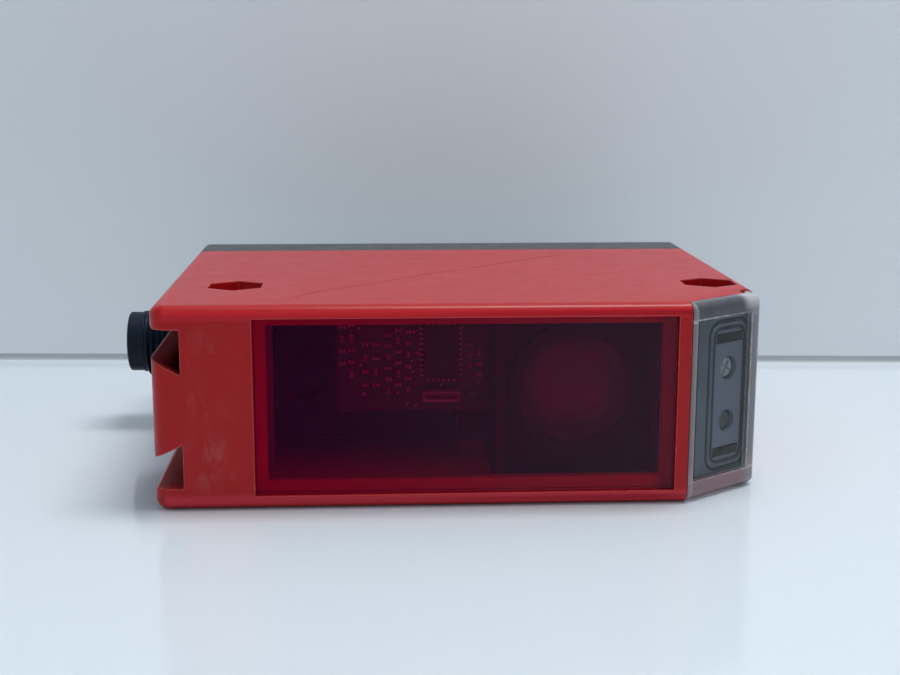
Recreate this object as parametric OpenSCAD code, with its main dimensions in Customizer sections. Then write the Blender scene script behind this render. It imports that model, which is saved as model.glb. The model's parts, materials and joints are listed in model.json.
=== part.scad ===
// Optical laser distance sensor in a flat block housing, 90 x 70 x 30 mm.
// It lies on one of its two mounting faces, with the front window facing -Y.
// The origin is midway between the two mounting holes, on the face it rests on.

/* [Housing] */
// Length, from the clamp rail to the far end
body_l = 90; // [86:1:100]
// Depth, from the front face to the back of the rear cover
body_d = 70; // [68:1:80]
// Height, from one mounting face to the other
body_h = 30; // [29:0.5:34]
// Thickness of the side walls
wall = 2; // [1.7:0.1:2.3]
// Radius along the front edges of the mounting faces
front_r = 1.8; // [1:0.1:2.2]
// Radius along the long edges
edge_r = 1.6; // [0.8:0.1:2]
// Radius of the upright edge at the front left corner
corner_r = 3; // [2:0.1:3.2]
// Diameter of the screw bosses behind the corners
boss_d = 5.2; // [4.8:0.1:5.6]

/* [Clamp rail] */
// Depth of the dovetail grooves in the left side
rail_depth = 4.4; // [3.6:0.05:4.6]
// Thickness of the flanges above and below the grooves
flange_t = 3.35; // [2.8:0.05:3.6]
// Height of the dovetail at its outer face
rail_tip_h = 14.7; // [14.2:0.1:15.2]
// Height of the dovetail at its root
rail_root_h = 10.2; // [9.6:0.1:11.4]

/* [Mounting holes] */
// Distance of the first hole from the left side
hole_x = 10.75; // [10.6:0.05:11.2]
// Distance of the second hole from the right side
hole_end = 5.75; // [5.6:0.05:6.4]
// Distance of the holes from the front face
hole_y = 18.7; // [18:0.1:20]
// Diameter of the clearance holes for M5 bolts
hole_d = 5.3; // [5.1:0.1:5.6]
// Width of the nut pockets across their flats
nut_af = 8.15; // [8:0.05:8.4]
// Depth of the nut pockets
nut_depth = 4.2; // [3.6:0.1:5]
// Diameter of the columns around the holes
column_d = 11; // [10.6:0.1:11.4]

/* [Front window] */
// Width of the plain field left of the window
label_w = 14.6; // [14:0.1:16]
// Width of the frame between the window and the corner hood
strip_w = 2; // [1.6:0.1:2.6]
// Height of the frame below the window
sill_h = 2.1; // [2:0.1:2.6]
// Height of the frame above the window
head_h = 1.9; // [1.8:0.1:2.6]
// How far the pane lies back from the front face
pane_recess = 0.3; // [0.1:0.1:0.6]
// Thickness of the filter pane
pane_t = 2; // [1.5:0.1:2.5]
// Thickness of the adhesive seal behind the pane
pane_seal_t = 0.3; // [0.2:0.1:0.5]
// Width of the ledge that the pane is bonded to
ledge_w = 1.8; // [1.4:0.1:2.2]
// Width of that ledge along the top
ledge_top_w = 1.2; // [1:0.1:1.6]
// Thickness of the ledge
ledge_t = 1.4; // [1.2:0.1:1.6]

/* [Corner hood] */
// Length of the cut corner along the front face
hood_run = 12.2; // [11.8:0.1:13]
// Length of the cut corner along the side face
hood_rise = 8.9; // [8.6:0.1:9.5]
// Thickness of the hood's rim
hood_t = 2.15; // [2.1:0.05:2.3]
// Thickness of the hood's clear face
hood_face_t = 1.2; // [1.1:0.05:1.25]
// Width of the solid rim at the hood's top and bottom
hood_rim_h = 2.55; // [2.3:0.05:2.8]
// Width of the solid rim at the hood's left end
hood_rim_w = 0.95; // [0.8:0.05:1.1]
// Radius along the hood's outer edges
hood_edge_r = 1.4; // [0.8:0.1:1.4]
// How far the hood's ends lie below the mounting faces
hood_drop = 0.25; // [0.1:0.05:0.3]
// Gap between the hood and the housing
hood_gap = 0.15; // [0.15:0.05:0.25]
// Radius of the hinge barrel
hinge_r = 1; // [0.9:0.05:1.1]
// Diameter of the hinge pin
pin_d = 1; // [0.8:0.05:1.1]
// Height of the housing's middle hinge knuckle
knuckle_h = 13.6; // [10:0.2:16]

/* [Operating panel] */
// Distance of the panel's centre line from the front edge of the cut corner
panel_s = 9.45; // [9.3:0.05:9.6]
// Distance of the outer seal lip from the solid rims of the hood
lip_margin = 0.7; // [0.5:0.1:1]
// Width of the outer seal lip
lip_w = 9.4; // [8.8:0.1:9.4]
// Width of the seal cord
lip_t = 0.5; // [0.4:0.05:0.6]
// Distance between the outer and the inner seal lip
lip_pitch = 1.08; // [0.9:0.02:1.2]
// Distance of each indicator's middle from the end of the outer seal lip
indicator_end = 2.8; // [2.6:0.1:3.2]
// Width of an indicator window
indicator_w = 5.8; // [5:0.1:5.8]
// Height of an indicator window
indicator_h = 1.4; // [1:0.1:1.8]
// How far the adjuster and the button lie from the panel's middle
control_z = 4.05; // [3.8:0.05:4.3]
// Diameter of the adjuster's rotor
rotor_d = 3; // [2.6:0.1:3.2]
// Diameter of the push button
button_d = 2.8; // [2.4:0.1:3]
// Travel of the push button
button_travel = 0.3; // [0.2:0.05:0.35]

/* [Optics] */
// Diameter of the receiver lens
lens_d = 18.5; // [16:0.5:18.5]
// Distance of the lens seat from the front face
lens_y = 13.4; // [12.8:0.1:15]
// Width of the optics carrier
carrier_w = 24.4; // [24.4:0.1:24.8]
// Depth of the optics carrier
carrier_d = 30; // [28:1:32]
// Distance of the emitter's axis from the left end
emitter_x = 21.4; // [21:0.1:22.5]
// Diameter of the emitter tube
emitter_d = 8; // [7.5:0.1:8.4]

/* [Circuit boards] */
// Distance of the main board from the front face
main_y = 14; // [13.6:0.1:15]
// Height of the main board
main_h = 16.4; // [15.6:0.2:17]
// Thickness of the boards
board_t = 1; // [0.8:0.1:1.2]
// Width of the processor across its body
chip_w = 5.4; // [5:0.1:6]
// Height of the processor's body
chip_h = 8.2; // [7:0.2:8.4]

/* [Connector] */
// Distance of the connector's axis from the back of the rear cover
conn_back = 19; // [18.5:0.5:21]
// How far the connector stands out of the housing
conn_len = 11; // [10:0.5:14]
// Outer diameter of the M12 thread
conn_d = 11.9; // [11.7:0.1:12]
// Diameter of the plain nose in front of the thread
nose_d = 10.4; // [10:0.1:10.8]
// Length of the plain nose
nose_l = 2.5; // [2:0.1:3.6]
// Diameter of the shank in the housing wall
shank_d = 10; // [9.6:0.1:10]

/* [Rear cover] */
// Depth of the rear cover, with its seal
cover_d = 11.4; // [10:0.2:13]
// Radius along the back edges
back_r = 2; // [1:0.1:2.4]
// Thickness of the flat cover seal
cover_seal_t = 0.6; // [0.4:0.1:0.8]

/* [Hidden] */
$fn = 48;
eps = 0.01;
slip = 0.1;
running = 0.05;
far = 2 * body_l;

mid_z = body_h / 2;
hole_spacing = body_l - hole_x - hole_end;
split_y = body_d - cover_d;
in_x0 = rail_depth + wall;
flange_tip = 0.5;
in_x1 = body_l - wall;
in_z1 = body_h - wall;
front_t = pane_recess + pane_t + pane_seal_t + ledge_t;

// Cut corner: s runs along its face, d runs inwards, both from its front edge.
corner_x = body_l - hood_run;
corner_a = atan2(hood_rise, hood_run);
seat_d = hood_t + hood_gap;
corner_wall = 1.7;
inner_d = seat_d + corner_wall;
bevel_w = 2.5;
hinge_x = body_l - hinge_r;
hinge_y = hood_rise + (hood_t - hinge_r * sin(corner_a)) / cos(corner_a);
hinge_s = (hinge_x - corner_x) * cos(corner_a) + hinge_y * sin(corner_a);
swing_r = hinge_r + 0.75;
swing_wall = 1;
knuckle_z = mid_z - knuckle_h / 2;
hood_h = body_h - 2 * hood_drop;
lip_h = hood_h - 2 * (hood_rim_h + lip_margin);
indicator_z = lip_h / 2 - indicator_end;

pane_x0 = label_w;
pane_x1 = corner_x - strip_w;
pane_z0 = sill_h;
pane_z1 = body_h - head_h;

plate_x0 = corner_x + hood_rim_w + 0.2;
plate_s1 = hinge_s - hinge_r - 0.15;
plate_z0 = hood_drop + hood_rim_h + 0.2;
plate_d0 = hood_face_t + 0.3;
panel_open_s0 = panel_s - indicator_w / 2 - 1.2;
panel_open_s1 = panel_s + indicator_w / 2 + 0.3;
panel_open_h = 2 * indicator_z + indicator_h + 2.4;
panel_board_s0 = 2;
panel_screw_s = panel_open_s0 - 1.65;
panel_screw_z = indicator_z - 1.3;
panel_screw_d = 1.2;
panel_head_d = 2;
panel_board_s1 = panel_open_s1 + 0.5;
rotor_d0 = plate_d0 + 0.6;
pot_d0 = inner_d - 1;
switch_d0 = inner_d - 0.55;
stem_d = 1.6;

lens_x = pane_x1 - 13.4;
lens_edge_t = 1.2;
lens_sag = 3;
lens_r = (pow(lens_d / 2, 2) + pow(lens_sag, 2)) / (2 * lens_sag);
lens_shift = 0.5;
carrier_x0 = lens_x - lens_shift - carrier_w / 2;
carrier_x1 = lens_x - lens_shift + carrier_w / 2;
carrier_wall = 1.3;
carrier_z1 = in_z1 - 0.2;
carrier_y1 = front_t + carrier_d;
lug_w = 4.4;
lug_h = 5.5;
lug_t = 2;
lug_y = carrier_y1 - 4;
ring_t = 1.2;
detector_w = 4;
detector_t = 1.2;
cell_w = 18;

emitter_y0 = 18;
emitter_l = 17;
emitter_bore = 5.6;
emitter_flange_y = 28;
emitter_flange_t = 2;
rib = 0.8;

main_x1 = carrier_x0 - 0.5;
main_x0 = emitter_x + emitter_d / 2 + 0.8;
main_z1 = in_z1 - 0.4;
main_z0 = main_z1 - main_h;
main_back = main_y + board_t;
tab_w = 4;
tab_t = 2;
chip_t = 1.3;
chip_x = main_x1 - 7.1;
chip_z = main_z0 + 9.3;

conn_y = body_d - conn_back;
conn_flange_d = 14;
conn_flange_t = 2;
shank_in_l = 4;
socket_d = 8.4;
socket_l = 8.5;
insert_x1 = in_x0 + 6;
pin_circle = 5;
nut_w = 13;
nut_t = 2.5;
seal_minor = 0.55;
seal_major = shank_d / 2 + 0.75;

ribbon_z = main_z0 + 2;
ribbon_t = 0.5;
power_y = split_y - 3.8;
power_x0 = insert_x1 + 6;
power_x1 = body_l - 10;
power_z0 = wall + 1.2;
post_d = 5;
post_l = 7;

cover_y0 = split_y + cover_seal_t;
seal_inset = 0.8;
boss_x0 = in_x0 + boss_d / 2 - 0.2;
boss_x1 = in_x1 - boss_d / 2 + 0.2;
boss_z = wall + boss_d / 2 + 0.4;
cover_hole_d = 3.2;
cover_head_d = 5.6;
cover_head_t = 1.6;
cover_screw_l = 16;
cover_shank_d = 2.5;
cover_pilot_l = 8;

// ---- Helpers ----

// Moves a piece from the housing's front left corner to the part's own origin.
module placed() translate([-(hole_x + hole_spacing / 2), -hole_y, 0]) children();

// Places a piece on the cut corner: x is s, y is d, z is height.
module on_corner() translate([corner_x, 0, 0]) rotate([0, 0, corner_a]) children();

module along_x(p) translate(p) rotate([0, 90, 0]) children();

module along_y(p) translate(p) rotate([-90, 0, 0]) children();

// Extrudes an outline drawn in X and Z from y0 to y1.
module xz_prism(y0, y1) translate([0, y1, 0]) rotate([90, 0, 0]) linear_extrude(y1 - y0) children();

// Extrudes an outline drawn in Y and Z from x0 to x1.
module yz_prism(x0, x1) translate([x0, 0, 0]) rotate([90, 0, 90]) linear_extrude(x1 - x0) children();

module block(low, high) translate(low) cube(high - low);

// Rectangle from low to high with a rounded corner at each place where round is 1.
// Corners run anticlockwise from the lower left one.
module soft_rect(low, high, r, round = [1, 1, 1, 1]) {
    c = [low, [high[0], low[1]], high, [low[0], high[1]]];
    d = [[1, 1], [-1, 1], [-1, -1], [1, -1]];
    translate([low[0] + r, low[1]]) square([high[0] - low[0] - 2 * r, high[1] - low[1]]);
    translate([low[0], low[1] + r]) square([high[0] - low[0], high[1] - low[1] - 2 * r]);
    for (i = [0:3]) {
        q = c[i] + r * d[i];
        if (round[i] == 1) translate(q) circle(r);
        else translate([min(c[i][0], q[0]), min(c[i][1], q[1])]) square(r);
    }
}

// Slab parallel to the cut corner, from d0 to d1, that starts at x0 along X and ends at s1.
module corner_slab(x0, s1, d0, d1, z0) intersection() {
    on_corner() block([-far, d0, z0], [s1, d1, body_h - z0]);
    block([x0, 0, 0], [far, far, body_h]);
}

// Upright rounded frame or plate in the corner's own s and z, from d0 to d1.
module panel_slab(w, h, r, d0, d1)
    translate([panel_s, 0, mid_z]) xz_prism(d0, d1) soft_rect([-w, -h] / 2, [w, h] / 2, r);

// Pan head screw along +Z: its head lies below zero and its shank above.
module screw(d, l, head_d, head_t) {
    cylinder(d = d, h = l);
    translate([0, 0, -head_t]) difference() {
        cylinder(d = head_d, h = head_t);
        for (a = [0, 90]) rotate(a)
            translate([-head_d / 3, -head_d / 16, -eps]) cube([head_d / 1.5, head_d / 8, head_t / 2]);
    }
}

// ---- Housing ----

// Section across the housing, with the dovetail grooves of the clamp rail on its left.
module body_section() {
    difference() {
        soft_rect([0, 0], [body_l, body_h], edge_r);
        for (up = [0, 1]) translate([0, up * body_h]) mirror([0, up]) polygon([
            [-1, flange_t - flange_tip - 1], [flange_tip, flange_t], [rail_depth, flange_t],
            [rail_depth, mid_z - rail_root_h / 2], [0, mid_z - rail_tip_h / 2],
            [-1, mid_z - rail_tip_h / 2]
        ]);
    }
}

// Plan of the housing with its cut corner, open to the rear.
module body_plan() {
    x1 = corner_x - hood_gap;
    y1 = (seat_d - hood_gap * sin(corner_a)) / cos(corner_a);
    y2 = (seat_d + hood_run * sin(corner_a)) / cos(corner_a);
    difference() {
        polygon([[0, corner_r], [corner_r, corner_r], [corner_r, 0], [x1, 0], [x1, y1],
            [body_l, y2], [body_l, body_d], [0, body_d]]);
        translate([hinge_x, hinge_y]) circle(swing_r);
    }
    translate([corner_r, corner_r]) circle(corner_r);
}

// Plan of the space inside the housing.
module cavity_plan(y1) {
    xc = corner_x + (front_t * cos(corner_a) - inner_d) / sin(corner_a);
    yc = (inner_d + (in_x1 - corner_x) * sin(corner_a)) / cos(corner_a);
    difference() {
        polygon([[in_x0, front_t], [xc, front_t], [in_x1, yc], [in_x1, y1], [in_x0, y1]]);
        translate([hinge_x, hinge_y]) circle(swing_r + swing_wall);
    }
}

module mounting_holes() {
    for (i = [0, 1]) translate([hole_x + i * hole_spacing, hole_y, 0]) {
        translate([0, 0, -1]) cylinder(d = hole_d, h = body_h + 2);
        translate([0, 0, body_h - nut_depth]) rotate([0, 0, 30])
            cylinder(d = nut_af / cos(30), h = nut_depth + 1, $fn = 6);
    }
}

module corner_bosses(y0, y1) {
    for (x = [boss_x0, boss_x1], z = [boss_z, body_h - boss_z])
        along_y([x, y0, z]) cylinder(d = boss_d, h = y1 - y0);
}

module cover_screw_places(y) {
    for (x = [boss_x0, boss_x1], z = [boss_z, body_h - boss_z]) along_y([x, y, z]) children();
}

module board_posts() {
    for (i = [0, 1]) {
        x = i == 0 ? power_x0 + 4 : power_x1 - 4;
        z = i == 0 ? wall + 2 : in_z1 - 2;
        along_y([x, power_y - post_l, z]) difference() {
            cylinder(d = post_d, h = post_l);
            translate([0, 0, post_l - 5]) cylinder(d = 1.9, h = 6);
        }
    }
}

module carrier_posts() {
    difference() {
        union() {
            block([carrier_x0 - lug_w, lug_y - 8, wall - eps], [carrier_x0 - 0.3, lug_y, wall + lug_h]);
            block([carrier_x1 + 0.3, lug_y - 8, in_z1 - lug_h], [carrier_x1 + lug_w, lug_y, in_z1 + eps]);
        }
        carrier_screw_places(lug_y - 6) cylinder(d = 2, h = 7);
    }
}

module carrier_screw_places(y) {
    along_y([carrier_x0 - lug_w / 2, y, wall + lug_h / 2]) children();
    along_y([carrier_x1 + lug_w / 2, y, in_z1 - lug_h / 2]) children();
}

// Ribs that hold the emitter's flange on the floor and under the roof.
module emitter_ribs() {
    x0 = hole_x + column_d / 2 + 0.3;
    for (y = [emitter_flange_y - rib, emitter_flange_y + emitter_flange_t], z = [wall - eps, in_z1 - 1.5 + eps])
        block([x0, y, z], [emitter_x + emitter_d / 2 + 1, y + rib, z + 1.5]);
}

module hinge_knuckle() {
    difference() {
        union() {
            translate([hinge_x, hinge_y, knuckle_z]) cylinder(r = hinge_r, h = knuckle_h);
            on_corner() block([hinge_s - swing_r - 0.6, seat_d, knuckle_z],
                [hinge_s - 0.66 * hinge_r, hood_t + 0.7 * hinge_r, knuckle_z + knuckle_h]);
        }
        translate([hinge_x, hinge_y, 0]) cylinder(r = pin_d / 2 + running, h = body_h);
    }
}

module housing() placed() color("firebrick") {
    difference() {
        union() {
            difference() {
                intersection() {
                    xz_prism(0, split_y) body_section();
                    linear_extrude(body_h) body_plan();
                    yz_prism(0, body_l) soft_rect([0, 0], [body_d, body_h], front_r, [1, 0, 0, 1]);
                }
                translate([0, 0, wall]) linear_extrude(body_h - 2 * wall) cavity_plan(split_y + 1);
            }
            for (i = [0, 1]) translate([hole_x + i * hole_spacing, hole_y, wall - eps])
                cylinder(d = column_d, h = body_h - 2 * wall + 2 * eps);
            intersection() {
                corner_bosses(split_y - cover_pilot_l - 1, split_y);
                block([1, 0, 1], [body_l - 1, body_d, body_h - 1]);
            }
            intersection() {
                board_posts();
                block([1, 0, 1], [body_l - 1, body_d, body_h - 1]);
            }
            carrier_posts();
            emitter_ribs();
            hinge_knuckle();
        }
        mounting_holes();
        // window pocket and the opening behind it
        block([pane_x0, -1, pane_z0], [pane_x1, front_t - ledge_t, pane_z1]);
        block([pane_x0 + ledge_w, -1, pane_z0 + ledge_w], [pane_x1 - ledge_w, front_t + 1, pane_z1 - ledge_top_w]);
        // opening behind the operating panel, and its board's screw holes
        on_corner() {
            block([panel_open_s0, seat_d - 1, mid_z - panel_open_h / 2],
                [panel_open_s1, inner_d + 1, mid_z + panel_open_h / 2]);
            panel_screw_places(seat_d + 0.3) cylinder(d = panel_screw_d, h = corner_wall);
        }
        // shallow slopes that lead down to the ends of the hood
        for (up = [0, 1]) translate([0, 0, up * body_h]) mirror([0, 0, up]) on_corner()
            yz_prism(-far, far) polygon([[-far, -1], [-far, hood_drop], [seat_d, hood_drop],
                [seat_d + 2 * bevel_w, -hood_drop], [seat_d + 2 * bevel_w, -1]]);
        cover_screw_places(split_y - cover_pilot_l) cylinder(d = cover_shank_d, h = cover_pilot_l + 1);
        along_x([-1, conn_y, mid_z]) cylinder(d = shank_d + 2 * slip, h = in_x0 + 2);
    }
}

module front_window() placed() color([0.35, 0, 0.08, 0.7])
    block([pane_x0 + slip, pane_recess, pane_z0 + slip],
        [pane_x1 - slip, pane_recess + pane_t, pane_z1 - slip]);

module window_seal() placed() color([0.3, 0.02, 0.06]) {
    y = pane_recess + pane_t;
    difference() {
        block([pane_x0 + slip, y, pane_z0 + slip], [pane_x1 - slip, y + pane_seal_t, pane_z1 - slip]);
        block([pane_x0 + ledge_w, y - 1, pane_z0 + ledge_w],
            [pane_x1 - ledge_w, y + 1, pane_z1 - ledge_top_w]);
    }
}

module rear_cover() placed() color([0.2, 0.2, 0.22]) {
    difference() {
        intersection() {
            xz_prism(split_y, body_d) body_section();
            linear_extrude(body_h) soft_rect([0, 0], [body_l, body_d], back_r, [0, 0, 1, 1]);
            yz_prism(0, body_l) soft_rect([0, 0], [body_d, body_h], back_r, [0, 1, 1, 0]);
        }
        difference() {
            block([in_x0, split_y - 1, wall], [in_x1, body_d - wall, in_z1]);
            corner_bosses(cover_y0, body_d - wall + 1);
        }
        block([rail_depth + seal_inset, split_y - 1, seal_inset],
            [body_l - seal_inset, cover_y0, body_h - seal_inset]);
        cover_screw_places(cover_y0 - 1) cylinder(d = cover_hole_d, h = cover_d + 2);
        cover_screw_places(body_d - cover_head_t)
            cylinder(d1 = cover_hole_d, d2 = cover_head_d + 0.2, h = cover_head_t + eps);
    }
}

module rear_seal() placed() color([0.12, 0.12, 0.13]) {
    difference() {
        block([rail_depth + seal_inset, split_y, seal_inset],
            [body_l - seal_inset, cover_y0, body_h - seal_inset]);
        difference() {
            block([in_x0, split_y - 1, wall], [in_x1, cover_y0 + 1, in_z1]);
            corner_bosses(split_y, cover_y0);
        }
        cover_screw_places(split_y - 1) cylinder(d = cover_hole_d, h = cover_seal_t + 2);
    }
}

module cover_screws() placed() color("silver")
    cover_screw_places(body_d - 0.1 - cover_screw_l) difference() {
        union() {
            cylinder(d = cover_shank_d, h = cover_screw_l);
            translate([0, 0, cover_screw_l - cover_head_t])
                cylinder(d1 = cover_shank_d, d2 = cover_head_d - 0.2, h = cover_head_t);
        }
        for (a = [0, 90]) rotate(a)
            translate([-1.4, -0.3, cover_screw_l - 1.1]) cube([2.8, 0.6, 2]);
    }

// ---- Corner hood ----

// Plan of the hood: the slice in front of its seat, rounded at the far corner.
module hood_plan() {
    r = hood_edge_r;
    cy = hood_rise + r * (1 - sin(corner_a)) / cos(corner_a);
    c = [body_l - r, cy];
    polygon([[corner_x, 0], c + r * [sin(corner_a), -cos(corner_a)], c, [body_l, cy],
        [body_l, hinge_y], [hinge_x, hinge_y], [corner_x, hood_t / cos(corner_a)]]);
    intersection() {
        translate(c) circle(r);
        translate([corner_x, 0]) rotate(corner_a) translate([0, -1]) square([far, hood_t + 1]);
    }
    translate([hinge_x, hinge_y]) circle(hinge_r);
}

module hood() placed() color([0.8, 0.85, 0.88, 0.4]) {
    difference() {
        intersection() {
            translate([0, 0, hood_drop]) linear_extrude(hood_h) hood_plan();
            on_corner() yz_prism(-far, far)
                soft_rect([0, hood_drop], [far, hood_drop + hood_h], hood_edge_r, [1, 0, 0, 1]);
            xz_prism(-1, far)
                soft_rect([0, hood_drop], [body_l, hood_drop + hood_h], hood_edge_r, [0, 1, 1, 0]);
        }
        corner_slab(corner_x + hood_rim_w, plate_s1 + 0.15, hood_face_t, hood_t + 1,
            hood_drop + hood_rim_h);
        translate([hinge_x, hinge_y, knuckle_z - hood_gap])
            cylinder(r = hinge_r + hood_gap, h = knuckle_h + 2 * hood_gap);
        translate([hinge_x, hinge_y, 0]) cylinder(d = pin_d, h = body_h);
    }
}

module hood_pin() placed() color("silver")
    translate([hinge_x, hinge_y, hood_drop + 1]) cylinder(d = pin_d, h = hood_h - 2);

// ---- Operating panel ----

module panel_screw_places(d) {
    for (side = [-1, 1]) along_y([panel_screw_s, d, mid_z + side * panel_screw_z]) children();
}

module panel_plate() placed() color([0.42, 0.44, 0.48]) {
    difference() {
        corner_slab(plate_x0, plate_s1, plate_d0, seat_d, plate_z0);
        on_corner() {
            for (i = [0, 1]) lip(i, plate_d0 - 1, plate_d0 + lip_t);
            indicator_places() block([-indicator_w / 2 - running, -1, -indicator_h / 2 - running],
                [indicator_w / 2 + running, 3, indicator_h / 2 + running]);
            for (side = [-1, 1]) along_y([panel_s, plate_d0 - 1, mid_z + side * control_z])
                cylinder(d = (side > 0 ? rotor_d : button_d) + 0.6, h = 3);
        }
    }
}

// One of the two seal lips, counted from outside.
module lip(i, d0, d1) {
    w = lip_w - 2 * i * lip_pitch;
    h = lip_h - 2 * i * lip_pitch;
    r = 2.5 - 0.8 * i;
    difference() {
        panel_slab(w, h, r, d0, d1);
        panel_slab(w - 2 * lip_t, h - 2 * lip_t, r - lip_t, d0 - 1, d1 + 1);
    }
}

module panel_gasket() placed() on_corner() color([0.2, 0.21, 0.24])
    for (i = [0, 1]) lip(i, plate_d0 - 0.15, plate_d0 + lip_t);

module indicator_places()
    for (side = [-1, 1]) translate([panel_s, plate_d0, mid_z + side * indicator_z]) children();

module indicator_windows() placed() on_corner() color([0.16, 0.17, 0.2])
    indicator_places()
        block([-indicator_w / 2, 0, -indicator_h / 2], [indicator_w / 2, inner_d - plate_d0 - 0.75, indicator_h / 2]);

module indicator_leds() placed() on_corner() color([0.9, 0.9, 0.8])
    for (side = [-1, 1]) translate([panel_s, 0, mid_z + side * indicator_z])
        block([-0.8, inner_d - 0.7, -0.5], [0.8, inner_d, 0.5]);

module panel_board() placed() on_corner() color("darkgreen")
    difference() {
        block([panel_board_s0, inner_d, mid_z - panel_open_h / 2 - 0.8],
            [panel_board_s1, inner_d + board_t, mid_z + panel_open_h / 2 + 0.8]);
        panel_screw_places(inner_d - 1) cylinder(d = panel_screw_d + 0.3, h = board_t + 2);
    }

module panel_screws() placed() on_corner() color("silver")
    panel_screw_places(inner_d + board_t) mirror([0, 0, 1])
        screw(panel_screw_d, board_t + corner_wall - 0.4, panel_head_d, 0.8);

module adjuster_body() placed() on_corner() color([0.15, 0.2, 0.45])
    difference() {
        translate([panel_s, 0, mid_z + control_z]) block([-1.9, pot_d0, -1.9], [1.9, inner_d, 1.9]);
        along_y([panel_s, pot_d0 - 1, mid_z + control_z]) cylinder(d = 1.2 + 2 * running, h = 1.7);
    }

module range_adjuster() placed() on_corner() color([0.75, 0.76, 0.78])
    difference() {
        union() {
            along_y([panel_s, rotor_d0, mid_z + control_z]) cylinder(d = rotor_d, h = pot_d0 - running - rotor_d0);
            along_y([panel_s, rotor_d0 + 0.2, mid_z + control_z]) cylinder(d = 1.2, h = pot_d0 + 0.6 - rotor_d0 - 0.2);
        }
        translate([panel_s, rotor_d0 - eps, mid_z + control_z]) for (a = [0, 90]) rotate([0, a, 0])
            block([-rotor_d * 0.36, 0, -0.22], [rotor_d * 0.36, 0.35, 0.22]);
    }

module teach_button() placed() on_corner() color([0.18, 0.19, 0.21]) {
    cap_d1 = switch_d0 - button_travel - running;
    along_y([panel_s, rotor_d0 - 0.1, mid_z - control_z]) cylinder(d = button_d, h = cap_d1 - rotor_d0 + 0.1);
    along_y([panel_s, cap_d1 - 0.2, mid_z - control_z]) cylinder(d = stem_d, h = 0.45);
}

module button_switch() placed() on_corner() color([0.55, 0.55, 0.57])
    difference() {
        translate([panel_s, 0, mid_z - control_z]) block([-1.8, switch_d0, -1.8], [1.8, inner_d, 1.8]);
        along_y([panel_s, switch_d0 - 1, mid_z - control_z]) cylinder(d = stem_d + 2 * running, h = 3);
    }

// ---- Circuit boards ----

module board_screw_places(y) {
    for (z = [main_z0 + 1.9, main_z1 - 1.7]) along_y([main_x1 - 1.9, y, z]) children();
}

module main_board() placed() color([0.05, 0.3, 0.16])
    difference() {
        block([main_x0, main_y, main_z0], [main_x1, main_back, main_z1]);
        board_screw_places(main_y - 1) cylinder(d = 2.2, h = board_t + 2);
    }

module processor() placed() color([0.1, 0.1, 0.11]) {
    translate([chip_x, main_y, chip_z]) {
        block([-chip_w / 2, -chip_t, -chip_h / 2], [chip_w / 2, -0.1, chip_h / 2]);
        for (side = [-1, 1]) {
            for (z = [-chip_h / 2 + 0.6:0.8:chip_h / 2 - 0.5])
                translate([side * (chip_w / 2 + 0.3), -0.45, z]) cube([0.7, 0.9, 0.35], center = true);
            for (x = [-chip_w / 2 + 0.6:0.8:chip_w / 2 - 0.5])
                translate([x, -0.45, side * (chip_h / 2 + 0.3)]) cube([0.35, 0.9, 0.7], center = true);
        }
    }
}

// Chip resistors and capacitors in upright columns.
// Each column is its distance from the board's right end, its lowest height, its count and its pitch.
part_columns = [
    [22.1, 7.6, 4, 1.9], [20.7, 5.9, 5, 1.9], [18.6, 4.2, 4, 2.1], [17, 4.2, 4, 2.1],
    [15.1, 3.4, 6, 1.7], [13.6, 4.2, 6, 1.7], [12.1, 3.4, 6, 1.8], [2.7, 7.2, 3, 1.6], [1.3, 5.6, 3, 1.7]
];

module board_parts() placed() color([0.6, 0.5, 0.4])
    for (c = part_columns, i = [0:c[2] - 1]) {
        x = main_x1 - c[0];
        z = main_z0 + c[1] + i * c[3];
        if (x > main_x0 + 0.8 && z < main_z1 - 0.6)
            translate([x, main_y, z]) block([-0.45, -0.5, -0.3], [0.45, 0, 0.3]);
    }

module board_connector() placed() color([0.9, 0.88, 0.8])
    translate([chip_x, main_y, main_z0 + 2.7]) difference() {
        block([-2.8, -2.4, -0.8], [2.8, 0, 0.8]);
        block([-2.4, -3, -0.4], [2.4, -1, 0.4]);
    }

module board_screws() placed() color([0.3, 0.3, 0.32])
    board_screw_places(main_y) screw(2, board_t + 1.6, 3.2, 1);

module power_screw_places(y) {
    along_y([power_x0 + 4, y, wall + 2]) children();
    along_y([power_x1 - 4, y, in_z1 - 2]) children();
}

module power_board() placed() color([0.05, 0.3, 0.16])
    difference() {
        block([power_x0, power_y, power_z0], [power_x1, power_y + board_t, body_h - power_z0]);
        power_screw_places(power_y - 1) cylinder(d = 2.2, h = board_t + 2);
    }

module power_parts() placed() color([0.25, 0.25, 0.3]) {
    for (x = [14, 22]) along_y([power_x0 + x, power_y - 7, ribbon_z + ribbon_t + 7.3]) cylinder(d = 6.3, h = 7);
    z1 = ribbon_z - 1.2;
    block([power_x0 + 12, power_y - 4, z1 - 5.6], [power_x0 + 19, power_y, z1]);
    block([power_x0 + 22, power_y - 2, z1 - 5.6], [power_x0 + 28.5, power_y, z1]);
    for (x = [32:3:44]) block([power_x0 + x, power_y - 1, z1 - 4], [power_x0 + x + 1.6, power_y, z1 - 2.8]);
}

module power_screws() placed() color("silver")
    power_screw_places(power_y + board_t) mirror([0, 0, 1]) screw(1.9, board_t + 4, 3.8, 1.2);

module link_ribbon() placed() color([0.75, 0.75, 0.72])
    block([main_x0 + 3, main_back, ribbon_z], [main_x0 + 11, power_y, ribbon_z + ribbon_t]);

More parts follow.
